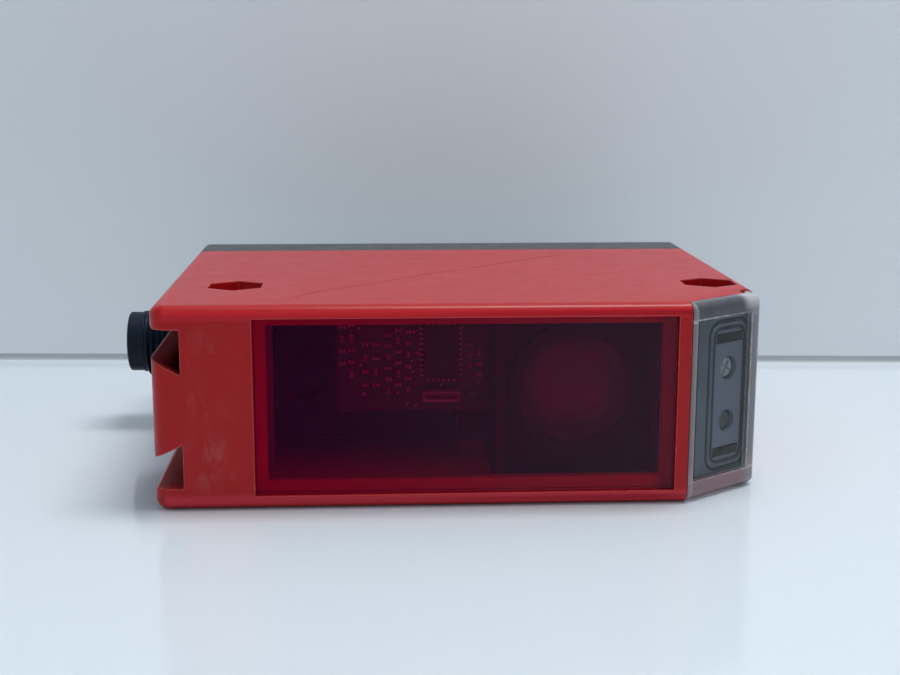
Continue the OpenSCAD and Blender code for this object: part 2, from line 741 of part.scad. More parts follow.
module panel_ribbon() placed() color([0.75, 0.75, 0.72]) {
    x = carrier_x1 + 1;
    y = (inner_d + board_t - (corner_x - x - 0.3) * sin(corner_a)) / cos(corner_a);
    block([x, y, mid_z - 3], [x + 0.3, power_y, mid_z + 3]);
}

// ---- Optics ----

module optics_carrier() placed() color([0.09, 0.09, 0.1])
    difference() {
        union() {
            block([carrier_x0, front_t, wall], [carrier_x1, carrier_y1, carrier_z1]);
            // flange behind the main board
            block([main_x1 - tab_w, main_back, main_z0 - 1], [carrier_x0 + eps, main_back + tab_t, carrier_z1]);
            // lugs on the housing's posts
            block([carrier_x0 - lug_w, lug_y, wall], [carrier_x0 + eps, lug_y + lug_t, wall + lug_h]);
            block([carrier_x1 - eps, lug_y, in_z1 - lug_h], [carrier_x1 + lug_w, lug_y + lug_t, carrier_z1]);
        }
        // light box in front of the lens
        block([carrier_x0 + carrier_wall, front_t - 1, wall + carrier_wall],
            [carrier_x1 - carrier_wall, lens_y - lens_edge_t, carrier_z1 - carrier_wall]);
        along_y([lens_x, lens_y - lens_edge_t - 1, mid_z]) cylinder(d = lens_d + 2 * slip, h = lens_edge_t + 1);
        along_y([lens_x, lens_y - eps, mid_z])
            cylinder(r1 = lens_d / 2 - 0.9, r2 = 2.2, h = carrier_y1 - lens_y - 2);
        along_y([lens_x, lens_y, mid_z]) cylinder(r = 2, h = carrier_y1);
        block([lens_x - 2.6, carrier_y1 - 2, mid_z - 2.6], [lens_x + 2.6, carrier_y1 + 1, mid_z + 2.6]);
        board_screw_places(main_back - 1) cylinder(d = 2, h = 2.7);
        carrier_screw_places(lug_y - 1) cylinder(d = 2.2, h = lug_t + 2);
        receiver_screw_places(carrier_y1 - 5) cylinder(d = 2, h = 6);
    }

// Flat on its back and domed to the front.
module receiver_lens() placed() color([0.8, 0.3, 0.4, 0.5])
    intersection() {
        along_y([lens_x, lens_y - lens_edge_t - lens_sag, mid_z]) cylinder(d = lens_d, h = lens_edge_t + lens_sag);
        translate([lens_x, lens_y - lens_edge_t - lens_sag + lens_r, mid_z]) sphere(lens_r, $fn = 96);
    }

module lens_ring() placed() color([0.12, 0.12, 0.13])
    difference() {
        along_y([lens_x, lens_y - lens_edge_t - ring_t, mid_z]) cylinder(d = lens_d + 2, h = ring_t);
        along_y([lens_x, 0, mid_z]) cylinder(d = lens_d - 1.2, h = lens_y);
        translate([lens_x, lens_y - lens_edge_t - lens_sag + lens_r, mid_z]) sphere(lens_r + 0.02, $fn = 96);
    }

module receiver_screw_places(y) {
    for (side = [-1, 1]) along_y([lens_x + side * (cell_w / 2 - 2), y, mid_z]) children();
}

module receiver_board() placed() color([0.05, 0.3, 0.16])
    difference() {
        block([lens_x - cell_w / 2, carrier_y1, mid_z - cell_w / 2],
            [lens_x + cell_w / 2, carrier_y1 + board_t, mid_z + cell_w / 2]);
        receiver_screw_places(carrier_y1 - 1) cylinder(d = 2.2, h = board_t + 2);
    }

module photodetector() placed() color([0.2, 0.15, 0.2])
    block([lens_x - detector_w / 2, carrier_y1 - detector_t, mid_z - detector_w / 2],
        [lens_x + detector_w / 2, carrier_y1, mid_z + detector_w / 2]);

module optics_screws() placed() color("silver") {
    carrier_screw_places(lug_y + lug_t) mirror([0, 0, 1]) screw(2, lug_t + 5.5, 3.8, 1.2);
    receiver_screw_places(carrier_y1 + board_t) mirror([0, 0, 1]) screw(2, board_t + 4.5, 3.8, 1.2);
}

module emitter_holder() placed() color([0.09, 0.09, 0.1])
    difference() {
        union() {
            along_y([emitter_x, emitter_y0, mid_z]) cylinder(d = emitter_d, h = emitter_l);
            block([hole_x + column_d / 2 + 0.1, emitter_flange_y, wall],
                [emitter_x + emitter_d / 2 + 1, emitter_flange_y + emitter_flange_t, carrier_z1]);
        }
        along_y([emitter_x, emitter_y0 - 1, mid_z]) cylinder(d = emitter_bore, h = 3);
        along_y([emitter_x, emitter_y0, mid_z]) cylinder(d = emitter_bore - 1, h = emitter_l + 1);
        along_y([emitter_x, emitter_y0 + emitter_l - 2, mid_z]) cylinder(d = emitter_bore, h = 3);
    }

module emitter_lens() placed() color([0.8, 0.5, 0.5, 0.5])
    along_y([emitter_x, emitter_y0 + 0.4, mid_z]) intersection() {
        cylinder(d = emitter_bore, h = 1.6);
        translate([0, 0, 6]) sphere(6, $fn = 96);
    }

module laser_diode() placed() color([0.8, 0.7, 0.4]) {
    along_y([emitter_x, emitter_y0 + emitter_l - 2, mid_z]) cylinder(d = emitter_bore, h = 1.2);
    along_y([emitter_x, emitter_y0 + emitter_l - 4.4, mid_z]) cylinder(d = 3.6, h = 2.5);
    for (a = [90, 210, 330]) along_y([emitter_x + cos(a), emitter_y0 + emitter_l - 1, mid_z + sin(a)])
        cylinder(d = 0.45, h = 6);
}

// ---- Connector ----

module connector_shell() placed() color([0.08, 0.09, 0.1])
    difference() {
        union() {
            along_x([-conn_len, conn_y, mid_z]) cylinder(d = nose_d, h = nose_l);
            along_x([nose_l - conn_len, conn_y, mid_z]) cylinder(d = conn_d, h = conn_len - nose_l);
            along_x([-conn_flange_t, conn_y, mid_z]) cylinder(d = conn_flange_d, h = conn_flange_t);
            along_x([-eps, conn_y, mid_z]) cylinder(d = shank_d, h = in_x0 + shank_in_l);
        }
        along_x([-conn_len - 1, conn_y, mid_z]) cylinder(d = socket_d, h = insert_x1 + conn_len + 2);
        // groove of the seal ring, in the face that meets the housing
        along_x([-2 * seal_minor - slip, conn_y, mid_z]) difference() {
            cylinder(r = seal_major + seal_minor + slip, h = 2);
            cylinder(d = shank_d, h = 3);
        }
    }

module connector_insert() placed() color([0.12, 0.12, 0.13]) {
    difference() {
        along_x([socket_l - conn_len, conn_y, mid_z]) cylinder(d = socket_d, h = insert_x1 + conn_len - socket_l);
        pin_places(socket_l - conn_len - 1) cylinder(d = 1, h = insert_x1 + conn_len);
    }
    // coding key along the socket's wall
    along_x([2 - conn_len, conn_y, mid_z]) intersection() {
        cylinder(d = socket_d, h = socket_l - 2 + eps);
        translate([socket_d / 2 - 0.7, -0.5, 0]) cube([1, 1, socket_l]);
    }
}

module pin_places(x) {
    for (a = [45:90:315]) along_x([x, conn_y + pin_circle / 2 * cos(a), mid_z + pin_circle / 2 * sin(a)]) children();
}

module connector_pins() placed() color("goldenrod")
    pin_places(1.5 - conn_len) {
        cylinder(d = 1, h = insert_x1 + conn_len - 1.5 + 3);
    }

module connector_seal() placed() color([0.1, 0.1, 0.1])
    along_x([-seal_minor, conn_y, mid_z]) rotate_extrude() translate([seal_major, 0]) circle(seal_minor);

module connector_nut() placed() color([0.75, 0.7, 0.5])
    difference() {
        along_x([in_x0, conn_y, mid_z]) cylinder(d = nut_w, h = nut_t, $fn = 6);
        along_x([in_x0 - 1, conn_y, mid_z]) cylinder(d = shank_d, h = nut_t + 2);
    }

// Four leads from the pins, bent once to the power board.
module connector_leads() placed() color([0.5, 0.3, 0.2])
    for (a = [45:90:315]) {
        y = conn_y + pin_circle / 2 * cos(a);
        z = mid_z + pin_circle / 2 * sin(a);
        x = power_x0 + 3 - pin_circle / 2 * cos(a);
        along_x([insert_x1 + 3, y, z]) cylinder(d = 1.3, h = x - insert_x1 - 3);
        translate([x, y, z]) sphere(d = 1.3);
        along_y([x, y, z]) cylinder(d = 1.3, h = power_y - y);
    }

housing();
front_window();
window_seal();
rear_cover();
rear_seal();
cover_screws();
hood();
hood_pin();
panel_plate();
panel_gasket();
indicator_windows();
indicator_leds();
panel_board();
panel_screws();
adjuster_body();
range_adjuster();
teach_button();
button_switch();
main_board();
processor();
board_parts();
board_connector();
board_screws();
optics_carrier();
receiver_lens();
lens_ring();
receiver_board();
photodetector();
optics_screws();
emitter_holder();
emitter_lens();
laser_diode();
power_board();
power_parts();
power_screws();
link_ribbon();
panel_ribbon();
connector_shell();
connector_insert();
connector_pins();
connector_seal();
connector_nut();
connector_leads();
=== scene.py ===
"""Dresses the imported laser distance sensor: its moulded shell, filter window, clear corner hood, operating
panel, optics, boards and M12 connector, on a pale bench with soft light."""

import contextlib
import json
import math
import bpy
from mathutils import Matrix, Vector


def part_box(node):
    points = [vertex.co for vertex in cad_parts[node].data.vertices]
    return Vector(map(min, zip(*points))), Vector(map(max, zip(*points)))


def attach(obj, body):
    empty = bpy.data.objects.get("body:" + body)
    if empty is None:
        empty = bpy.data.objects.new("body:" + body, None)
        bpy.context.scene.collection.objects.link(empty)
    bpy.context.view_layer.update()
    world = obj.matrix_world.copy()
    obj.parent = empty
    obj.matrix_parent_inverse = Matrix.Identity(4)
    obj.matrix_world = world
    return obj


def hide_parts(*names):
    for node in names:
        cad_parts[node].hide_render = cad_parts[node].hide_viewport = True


bl_info = {
    "name": "Block Laser Distance Sensor",
    "version": (1, 0, 0),
    "blender": (4, 5, 0),
    "location": "View3D > Sidebar > Sensor",
    "description": "Dresses the frame of a block shaped laser distance sensor and sets up its bench",
    "category": "Object",
}

import bmesh
import bpy
from mathutils import Matrix, Vector

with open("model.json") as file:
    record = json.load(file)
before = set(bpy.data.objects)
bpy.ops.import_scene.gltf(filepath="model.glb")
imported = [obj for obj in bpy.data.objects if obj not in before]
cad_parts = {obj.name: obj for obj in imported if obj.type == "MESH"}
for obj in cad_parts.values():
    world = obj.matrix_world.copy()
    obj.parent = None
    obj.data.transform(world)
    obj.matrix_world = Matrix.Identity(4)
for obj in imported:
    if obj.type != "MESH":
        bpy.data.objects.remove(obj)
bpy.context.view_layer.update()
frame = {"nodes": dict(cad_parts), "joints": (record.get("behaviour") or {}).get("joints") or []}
NODES = frame["nodes"]
JOINTS = {j["name"]: j for j in frame["joints"]}
MM = 0.001


def mm(x, y, z):
    """A place or a shift, from its millimetres."""
    return Vector((x, y, z)) * MM


# The cut corner: its face runs along S_DIR, and D_DIR points into the sensor.
D_DIR = Vector(JOINTS["adjuster_turn"]["axis"]).normalized()
S_DIR = Vector((D_DIR.y, -D_DIR.x, 0.0))
CORNER_TURN = math.atan2(S_DIR.y, S_DIR.x)
UPRIGHT = (1.0, 1.0, 0.5)  # stretches a noise upwards
SHELL_LOW, SHELL_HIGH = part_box("housing")
MID_Z = (SHELL_LOW.z + SHELL_HIGH.z) / 2


# ---- Settings ----


def size(name, default, note):
    return bpy.props.FloatProperty(
        name=name, description=note, default=default, unit="LENGTH", subtype="DISTANCE", precision=5
    )


def colour(name, default, note):
    return bpy.props.FloatVectorProperty(
        name=name, description=note, default=default, size=3, min=0.0, max=1.0, subtype="COLOR"
    )


def amount(name, default, note):
    return bpy.props.FloatProperty(name=name, description=note, default=default, min=0.0, max=1.0, subtype="FACTOR")


class ShellSettings(bpy.types.PropertyGroup):
    red: colour("Shell red", (0.44, 0.0032, 0.0058), "Colour of the moulded shell")
    cover: colour("Cover grey", (0.055, 0.060, 0.068), "Colour of the rear cover")
    edge: size("Soft edge", 0.34 * MM, "Radius that the shell's sharp edges seem to have")
    grain: size("Grain depth", 0.005 * MM, "Depth of the mould's fine texture")
    gloss: amount("Roughness", 0.33, "Roughness of the moulded surface")
    shine: amount("Shine", 0.30, "Strength of the shell's reflections")
    corner: size("Corner radius", 3.0 * MM, "Radius of the upright edge at the front left corner")
    tip: size("Tip radius", 1.55 * MM, "Radius with which that edge rolls over into the mounting faces")
    # painted highlight along the shell's edges
    edge_highlight: amount("Pale edges", 0.85, "How much paler the shell's edges are")
    # painted shade in the shell's grooves and pockets
    hollow_shade: amount("Grime", 0.8, "How dark the shell's grooves and pockets are")
    crease: size("Crease", 4.8 * MM, "Distance from the cut corner's face to the crease on the top")
    residue: amount("Residue", 0.35, "How strongly old adhesive shows on the bare label field")
    scratch: amount("Scratch", 0.42, "How strongly the long scratch shows on the top")


class WindowSettings(bpy.types.PropertyGroup):
    tint: colour("Filter red", (0.75, 0.05, 0.24), "What one pass through the pane lets through")
    # painted reflection: the tint of the pane's reflections runs from the left end's colour to the right end's,
    # standing in for a room reflected darker on the left
    reflection_tint: colour("Coating", (0.55, 0.75, 0.95), "Tint of the coated pane's reflections at its right end")
    left_reflection_tint: colour("Coating at the left", (0.35, 0.10, 0.50), "Tint of the reflections at its left end")
    haze: amount("Haze", 0.014, "Share of the light that dust and fine scratches on the pane scatter")
    seal_gap: size("Seal gap", 0.02 * MM, "Thin air gap between the pane's back and its adhesive")
    edge: size("Pane edge", 0.12 * MM, "Radius along the pane's edges")


class HoodSettings(bpy.types.PropertyGroup):
    tint: colour("Hood tint", (0.86, 0.89, 0.91), "What one pass through the clear hood lets through")
    milk: colour("Rim grey", (0.13, 0.125, 0.15), "Milkiness of the hood's solid rims")
    # painted reflection: the red of the shell below shows in the lower rim
    low_rim_red_reflection: colour("Lower rim", (0.46, 0.27, 0.31), "Milkiness of the rim over the shell's lower edge")
    rim: size("Upper rim", 2.55 * MM, "Height of the solid rim at the hood's top")
    low_rim: size("Lower rim height", 2.9 * MM, "Height of the solid rim at the hood's bottom")
    rim_left: size("Left rim", 1.1 * MM, "Where the rim at the hood's left end stops along the corner")
    rim_right: size("Right rim", 13.1 * MM, "Where the rim at the hood's hinge end starts along the corner")
    gate: size("Gate mark", 0.42 * MM, "Radius of the moulding mark on the hood's face")


class PanelSettings(bpy.types.PropertyGroup):
    plate: colour("Plate grey", (0.112, 0.128, 0.165), "Colour of the operating panel")
    seal: colour("Seal grey", (0.014, 0.018, 0.026), "Colour of the panel's seal lips")
    centre_s: size("Panel centre", 9.45 * MM, "Distance of the panel's middle from the corner's front edge")
    lip_width: size("Lip width", 9.4 * MM, "Width across the outer seal lip")
    lip_height: size("Lip height", 23.2 * MM, "Height across the outer seal lip")
    lip_pitch: size("Lip pitch", 1.08 * MM, "Distance between the two seal lips")
    lip_thick: size("Lip thickness", 0.5 * MM, "Width of a seal lip")


class ConnectorSettings(bpy.types.PropertyGroup):
    black: colour("Connector black", (0.005, 0.012, 0.024), "Colour of the connector's shell")
    nose: size("Nose", 2.5 * MM, "Length of the plain nose in front of the thread")
    pitch: size("Thread pitch", 1.0 * MM, "Pitch of the connector's thread")
    depth: size("Thread depth", 0.55 * MM, "Depth of the connector's thread")
    key: size("Coding key", 0.7 * MM, "Width of the notch in the shell's rim")


class BoardSettings(bpy.types.PropertyGroup):
    mask: colour("Solder mask", (0.007, 0.014, 0.009), "Colour of the boards")
    tin: colour("Solder", (0.62, 0.62, 0.60), "Colour of tinned ends and leads")


class StageSettings(bpy.types.PropertyGroup):
    bench: colour("Bench", (0.728, 0.805, 0.872), "Colour of the bench")
    wall: colour("Wall", (0.84, 0.89, 0.925), "Colour of the wall behind the bench")
    foot: size("Foot", 1.5 * MM, "Height of the shaded foot of the wall")
    wall_y: size("Wall distance", 81.9 * MM, "How far behind the mounting holes the wall stands")
    wall_turn: bpy.props.FloatProperty(
        name="Wall turn", description="How far the wall is turned from the sensor's back",
        default=math.radians(-3.45), subtype="ANGLE",
    )
    sky: bpy.props.FloatProperty(name="Room light", description="Strength of the light all round", default=0.49)
    key: bpy.props.FloatProperty(
        name="Key light", description="Power of the lamp overhead", default=2.5, unit="POWER"
    )


# ---- Modelling helpers ----


def deselect():
    if bpy.context.mode != "OBJECT":
        bpy.ops.object.mode_set(mode="OBJECT")
    bpy.ops.object.select_all(action="DESELECT")


def activate(obj):
    deselect()
    obj.select_set(True)
    bpy.context.view_layer.objects.active = obj


@contextlib.contextmanager
def editing(obj):
    """Edit mode on one object."""
    activate(obj)
    bpy.ops.object.mode_set(mode="EDIT")
    yield
    bpy.ops.object.mode_set(mode="OBJECT")


def fresh(name, add, **settings):
    """A new primitive under its own name."""
    deselect()
    add(**settings)
    obj = bpy.context.active_object
    obj.name = obj.data.name = name
    return obj


def pick(obj, kind, test):
    """Selects only the edges or faces that the test takes, in edit mode."""
    bpy.ops.mesh.select_mode(type={"edges": "EDGE", "faces": "FACE"}[kind])
    bpy.ops.mesh.select_all(action="DESELECT")
    mesh = bmesh.from_edit_mesh(obj.data)
    for item in getattr(mesh, kind):
        item.select_set(bool(test(item)))
    mesh.select_flush_mode()
    bmesh.update_edit_mesh(obj.data)


def tidy_mesh():
    """Merges doubles and turns the faces outwards, in edit mode."""
    bpy.ops.mesh.select_mode(type="VERT")
    bpy.ops.mesh.select_all(action="SELECT")
    bpy.ops.mesh.remove_doubles(threshold=1e-6)
    bpy.ops.mesh.dissolve_degenerate(threshold=1e-7)
    bpy.ops.mesh.delete_loose()
    bpy.ops.mesh.select_all(action="SELECT")
    bpy.ops.mesh.normals_make_consistent(inside=False)


def settle(obj):
    """Puts the piece's place into its mesh."""
    activate(obj)
    bpy.ops.object.transform_apply(location=True, rotation=True, scale=True)
    return obj


def apply_modifier(obj, kind, **settings):
    mod = obj.modifiers.new(kind.lower(), kind)
    for key, value in settings.items():
        setattr(mod, key, value)
    activate(obj)
    bpy.ops.object.modifier_apply(modifier=mod.name)
    return obj


def converted(obj, kind):
    activate(obj)
    bpy.ops.object.convert(target=kind)
    return bpy.context.active_object


def soften(obj, width, segments=3, angle=32):
    """Rounds every edge sharper than angle."""
    return apply_modifier(
        obj, "BEVEL", width=width, segments=segments, limit_method="ANGLE", angle_limit=math.radians(angle)
    )


def cut(obj, tool, operation="DIFFERENCE"):
    apply_modifier(obj, "BOOLEAN", object=tool, operation=operation, solver="EXACT")
    bpy.data.objects.remove(tool)
    return obj


def cross_recess(obj, half_length, half_width, near, far, turn=0.0, taper=None):
    """Cuts a cross into a piece turned about Y, between two places along Y, in millimetres."""
    for quarter in (0, 90):
        slot = block("slot", mm(-half_length, near, -half_width), mm(half_length, far, half_width))
        if taper:
            with editing(slot):
                pick(slot, "faces", lambda face: face.normal.y < -0.9)
                bpy.ops.transform.resize(value=taper)
        slot.matrix_world = Matrix.Rotation(math.radians(quarter + turn), 4, "Y")
        cut(obj, settle(slot))


def block(name, low, high):
    """A box between two corners."""
    low, high = Vector(low), Vector(high)
    obj = fresh(name, bpy.ops.mesh.primitive_cube_add, size=1.0, location=(low + high) / 2)
    obj.scale = high - low
    return settle(obj)


def loop(name, points):
    """A closed loop of edges through the points."""
    obj = fresh(name, bpy.ops.mesh.primitive_circle_add, vertices=len(points), radius=MM)
    for vertex, point in zip(obj.data.vertices, points):
        vertex.co = point
    return obj


def turned(name, outline, centre=(0, 0, 0), axis=(0, 1, 0), steps=48):
    """A piece turned on a lathe: a closed outline of (distance along the axis, radius) pairs, in millimetres."""
    axis, centre = Vector(axis).normalized(), Vector(centre)
    side = axis.orthogonal().normalized()
    obj = loop(name, [centre + (axis * along + side * radius) * MM for along, radius in outline])
    with editing(obj):
        bpy.ops.mesh.select_all(action="SELECT")
        bpy.ops.mesh.spin(steps=steps, angle=math.tau, center=centre, axis=axis)
        tidy_mesh()
    return obj


def from_node(name, node):
    """A merged copy of a CAD node's mesh, as a piece of its own."""
    obj = bpy.data.objects.new(name, NODES[node].data.copy())
    bpy.context.scene.collection.objects.link(obj)
    with editing(obj):
        bpy.ops.mesh.select_mode(type="VERT")
        bpy.ops.mesh.select_all(action="SELECT")
        bpy.ops.mesh.remove_doubles(threshold=1e-6)
        bpy.ops.mesh.dissolve_limited(angle_limit=math.radians(0.6))
    return obj


def join(obj, *others):
    activate(obj)
    for other in others:
        other.select_set(True)
    bpy.ops.object.join()


def repeated(obj, moves):
    """The piece and a copy of it for each further move, joined into one."""
    first = obj.data.copy()
    obj.data.transform(moves[0])
    others = []
    for move in moves[1:]:
        twin = bpy.data.objects.new(obj.name + "_copy", first.copy())
        twin.data.transform(move)
        bpy.context.scene.collection.objects.link(twin)
        others.append(twin)
    join(obj, *others)


def to_corner(obj):
    """Moves a piece made at x = s, y = d and z = height onto the cut corner."""
    origin = panel_point(0.0, 0.0, 0.0)
    obj.matrix_world = Matrix.Translation(origin) @ Matrix.Rotation(CORNER_TURN, 4, "Z")
    return settle(obj)


def corner_run(s):
    """The share along S_DIR of a place at s along the cut corner."""
    return panel_point(s, 0, 0).dot(S_DIR)


def corner_depth(d):
    """The share along D_DIR of a place d behind the cut corner's face."""
    return panel_point(0, d, 0).dot(D_DIR)


def panel_point(s, d, z):
    """The place at s along the cut corner, d behind its face and z above the bench."""
    sets = bpy.context.scene.sensor_panel
    knob = Vector(JOINTS["adjuster_turn"]["pos_m"])
    depth = 2.1 * MM
    return knob + S_DIR * (s - sets.centre_s) + D_DIR * (d - depth) + Vector((0, 0, z - knob.z))


def hand_over(obj, body, material=None, nodes=(), angle=32):
    """Shades a finished piece, ties it to its body and hides the CAD nodes it stands for.

    Without a material, the piece keeps what its parts have."""
    settle(obj)
    bpy.ops.object.shade_smooth_by_angle(angle=math.radians(angle))
    if material:
        apply_modifier(obj, "WEIGHTED_NORMAL", keep_sharp=True, weight=80)
        obj.data.materials.clear()
        obj.data.materials.append(material)
    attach(obj, body)
    if nodes:
        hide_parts(*nodes)


def dress(material, *names):
    """Gives CAD nodes their finish."""
    for name in names:
        NODES[name].data.materials.clear()
        NODES[name].data.materials.append(material)


# ---- Finishes ----


class Finish:
    """A node material while it is put together."""

    def __init__(self, name):
        self.material = bpy.data.materials.new(name)
        self.material.use_nodes = True
        self.tree = self.material.node_tree
        self.tree.nodes.clear()
        self.place = self.add("ShaderNodeTexCoord").outputs["Object"]
        self.base = None

    def add(self, kind, inputs=None, **settings):
        node = self.tree.nodes.new(kind)
        for key, value in settings.items():
            setattr(node, key, value)
        for key, value in (inputs or {}).items():
            if isinstance(value, bpy.types.NodeSocket):
                self.tree.links.new(value, node.inputs[key])
            else:
                node.inputs[key].default_value = value
        return node

    def noise(self, per_metre, detail=3.0, rough=0.55, stretch=None, warp=0.0):
        place = self.place
        if stretch:
            place = self.add("ShaderNodeMapping", {"Vector": place, "Scale": stretch}).outputs[0]
        return self.add(
            "ShaderNodeTexNoise",
            {"Vector": place, "Scale": per_metre, "Detail": detail, "Roughness": rough, "Distortion": warp},
        ).outputs[0]

    def maths(self, operation, first, second=0.0):
        return self.add("ShaderNodeMath", {0: first, 1: second}, operation=operation).outputs[0]

    def times(self, first, *others):
        for other in others:
            first = self.maths("MULTIPLY", first, other)
        return first

    def plus(self, first, *others):
        for other in others:
            first = self.maths("ADD", first, other)
        return first

    def along(self, way):
        """How far a place lies along a direction."""
        return self.add("ShaderNodeVectorMath", {0: self.place, 1: way}, operation="DOT_PRODUCT").outputs["Value"]

    def spread(self, value, low, high, to_low=0.0, to_high=1.0):
        """A value's share between low and high, as a number between to_low and to_high."""
        return self.add(
            "ShaderNodeMapRange",
            {0: value, 1: low, 2: high, 3: to_low, 4: to_high},
            interpolation_type="SMOOTHSTEP",
        ).outputs[0]

    def fade(self, value, low, high):
        """One below low, and zero above high."""
        return self.spread(value, low, high, 1.0, 0.0)

    def between(self, value, low, high, soft):
        """One between low and high, and fading to zero over soft outside them."""
        return self.times(self.spread(value, low - soft, low), self.fade(value, high, high + soft))

    def mix(self, share, first, second):
        return self.add("ShaderNodeMix", {0: share, 6: paint(first), 7: paint(second)}, data_type="RGBA").outputs[2]

    def axes(self):
        parts = self.add("ShaderNodeSeparateXYZ", {0: self.place}).outputs
        return parts[0], parts[1], parts[2]

    def rounded(self, radius):
        """The normal that the surface has once its edges are rounded."""
        return self.add("ShaderNodeBevel", {"Radius": radius}, samples=8).outputs[0]

    def edges(self, soft):
        """One along edges and zero on flats, from the rounded normal."""
        own = self.add("ShaderNodeNewGeometry").outputs["Normal"]
        along = self.add("ShaderNodeVectorMath", {0: own, 1: soft}, operation="DOT_PRODUCT").outputs["Value"]
        return self.fade(along, 0.86, 0.99)

    def bump(self, height, depth, edge=0.0, soft=None):
        inputs = {"Height": height, "Distance": depth}
        if edge:
            soft = self.rounded(edge)
        if soft:
            inputs["Normal"] = soft
        return self.add("ShaderNodeBump", inputs).outputs[0]

    def cloud(self, per_metre, tone, low, high, detail=4.0, **how):
        """Starts with a slightly cloudy base, from low to high times the colour."""
        self.base = self.mix(self.noise(per_metre, detail, **how), shade(tone, low), shade(tone, high))

    def lay(self, share, tone):
        """Lays a colour over the base by the given share."""
        self.base = self.mix(share, self.base, tone)

    def surface(self, **inputs):
        """A solid surface, in the base colour where no other is given."""
        values = {"Base Color": self.base, **{key.replace("_", " "): value for key, value in inputs.items()}}
        return self.add("ShaderNodeBsdfPrincipled", values).outputs[0]

    def done(self, shader=None, **inputs):
        """The finished material, from a shader or from the inputs of a solid surface."""
        self.add("ShaderNodeOutputMaterial", {"Surface": shader or self.surface(**inputs)})
        return self.material


def paint(value):
    """A socket as it is, or a colour with its fourth number."""
    return value if isinstance(value, bpy.types.NodeSocket) else (*value, 1.0)


def shade(colour_value, share):
    return tuple(min(1.0, part * share) for part in colour_value)


def moulded(name, tone, rough=0.42, grain=0.01 * MM, edge=0.15 * MM, ior=1.5):
    """Plain moulded plastic: fine even grain, slightly cloudy colour and gloss."""
    f = Finish(name)
    f.cloud(140.0, tone, 0.86, 1.12)
    gloss = f.spread(f.noise(420.0, 5.0), 0.3, 0.7, rough - 0.05, rough + 0.06)
    fine = f.bump(f.noise(5200.0, 2.0), grain, edge)
    return f.done(Roughness=gloss, Normal=fine, IOR=ior)


def metal(name, tone, rough):
    """Machined or plated metal with fine tool marks and a few dull spots."""
    f = Finish(name)
    marks = f.noise(2600.0)
    dull = f.noise(700.0, 5.0)
    gloss = f.spread(dull, 0.35, 0.75, rough - 0.06, rough + 0.16)
    f.base = f.mix(dull, shade(tone, 1.05), shade(tone, 0.8))
    grain = f.bump(marks, 0.004 * MM, 0.08 * MM)
    return f.done(Metallic=1.0, Roughness=gloss, Normal=grain)


def see_through(name, tint, ior, rough, reflection_tint=(1.0, 1.0, 1.0), milky=0.0, across=None):
    """Clear plastic with faint polishing haze, that lets the lamps reach what is behind it.

    The tint of its reflections can go from one colour to another across a span of x, a painted reflection of a room
    that is darker on one side."""
    f = Finish(name)
    if across:
        start, end, last_reflection_tint = across
        reflection_tint = f.mix(f.spread(f.axes()[0], start, end), reflection_tint, last_reflection_tint)
    haze = f.noise(900.0, 5.0)
    f.base = paint(tint)
    clear = f.surface(
        Roughness=f.spread(haze, 0.45, 0.8, rough, rough + 0.04),
        IOR=ior,
        Transmission_Weight=1.0 - milky,
        Specular_Tint=paint(reflection_tint),
        Normal=f.bump(f.noise(90.0, 2.0), 0.01 * MM),
    )
    each_face = tuple(math.sqrt(part) for part in tint)
    passed = f.add("ShaderNodeBsdfTransparent", {"Color": paint(each_face)}).outputs[0]
    ray = f.add("ShaderNodeLightPath").outputs["Is Shadow Ray"]
    return f.done(f.add("ShaderNodeMixShader", {0: ray, 1: clear, 2: passed}).outputs[0])


def clear_rim(sets):
    """The hood's solid rims: milky clear plastic, with painted highlights along the borders of its face and at its
    ends, and the shell's red painted into the lower rim.
    """
    f = Finish("clear_rim")
    z, along = f.axes()[2], f.along(S_DIR)
    low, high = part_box("hood")
    floor, roof = low.z + sets.low_rim, high.z - sets.rim
    left, hinge = (corner_run(s) for s in (sets.rim_left, sets.rim_right))
    f.cloud(400.0, sets.milk, 0.75, 1.3, stretch=UPRIGHT)
    # painted reflection: the red of the shell below shows in the lower rim
    f.lay(f.fade(z, low.z + 1.5 * sets.rim, low.z + 2.5 * sets.rim), sets.low_rim_red_reflection)

    # painted highlights: both ends and the upper corner at the hinge are painted paler, as light caught in the clear
    # plastic
    f.lay(f.spread(along, hinge - 0.8 * MM, hinge + 0.6 * MM, 0.0, 0.6), (0.50, 0.50, 0.53))
    left_end_highlight = f.times(f.spread(along, left - MM, left, 0.3, 0.75), f.fade(along, left, left + 0.1 * MM))
    f.lay(left_end_highlight, (0.66, 0.58, 0.60))
    tip = f.times(f.spread(along, hinge - 2.2 * MM, hinge), f.spread(z, roof, high.z - MM))
    f.lay(f.times(tip, 0.9), (0.90, 0.90, 0.92))

    # painted highlights: thin bright lines along the borders of the clear face, as light caught in the plastic
    upper = f.between(z, roof - 0.25 * MM, roof + 0.2 * MM, 0.08 * MM)
    upper = f.times(upper, f.spread(along, left + 5.0 * MM, left + 8.0 * MM, 1.0, 0.35))
    lower = f.between(z, floor - 0.2 * MM, floor + 0.2 * MM, 0.08 * MM)
    lower = f.times(lower, f.spread(along, left, hinge, 0.2, 0.7))
    side = f.between(along, hinge - 0.1 * MM, hinge + 0.3 * MM, 0.1 * MM)
    side = f.times(side, f.between(z, floor, roof, 0.2 * MM), 0.6)
    lines = f.maths("MAXIMUM", f.maths("MAXIMUM", upper, lower), side)
    glitter = f.spread(f.noise(1500.0, 2.0), 0.38, 0.62, 0.35, 1.0)
    f.lay(f.times(lines, glitter), (0.98, 0.98, 0.98))
    return f.done(
        Roughness=0.3, IOR=1.3, Transmission_Weight=0.5, Coat_Weight=0.5, Coat_Roughness=0.08,
        Normal=f.bump(f.noise(700.0), 0.02 * MM),
    )


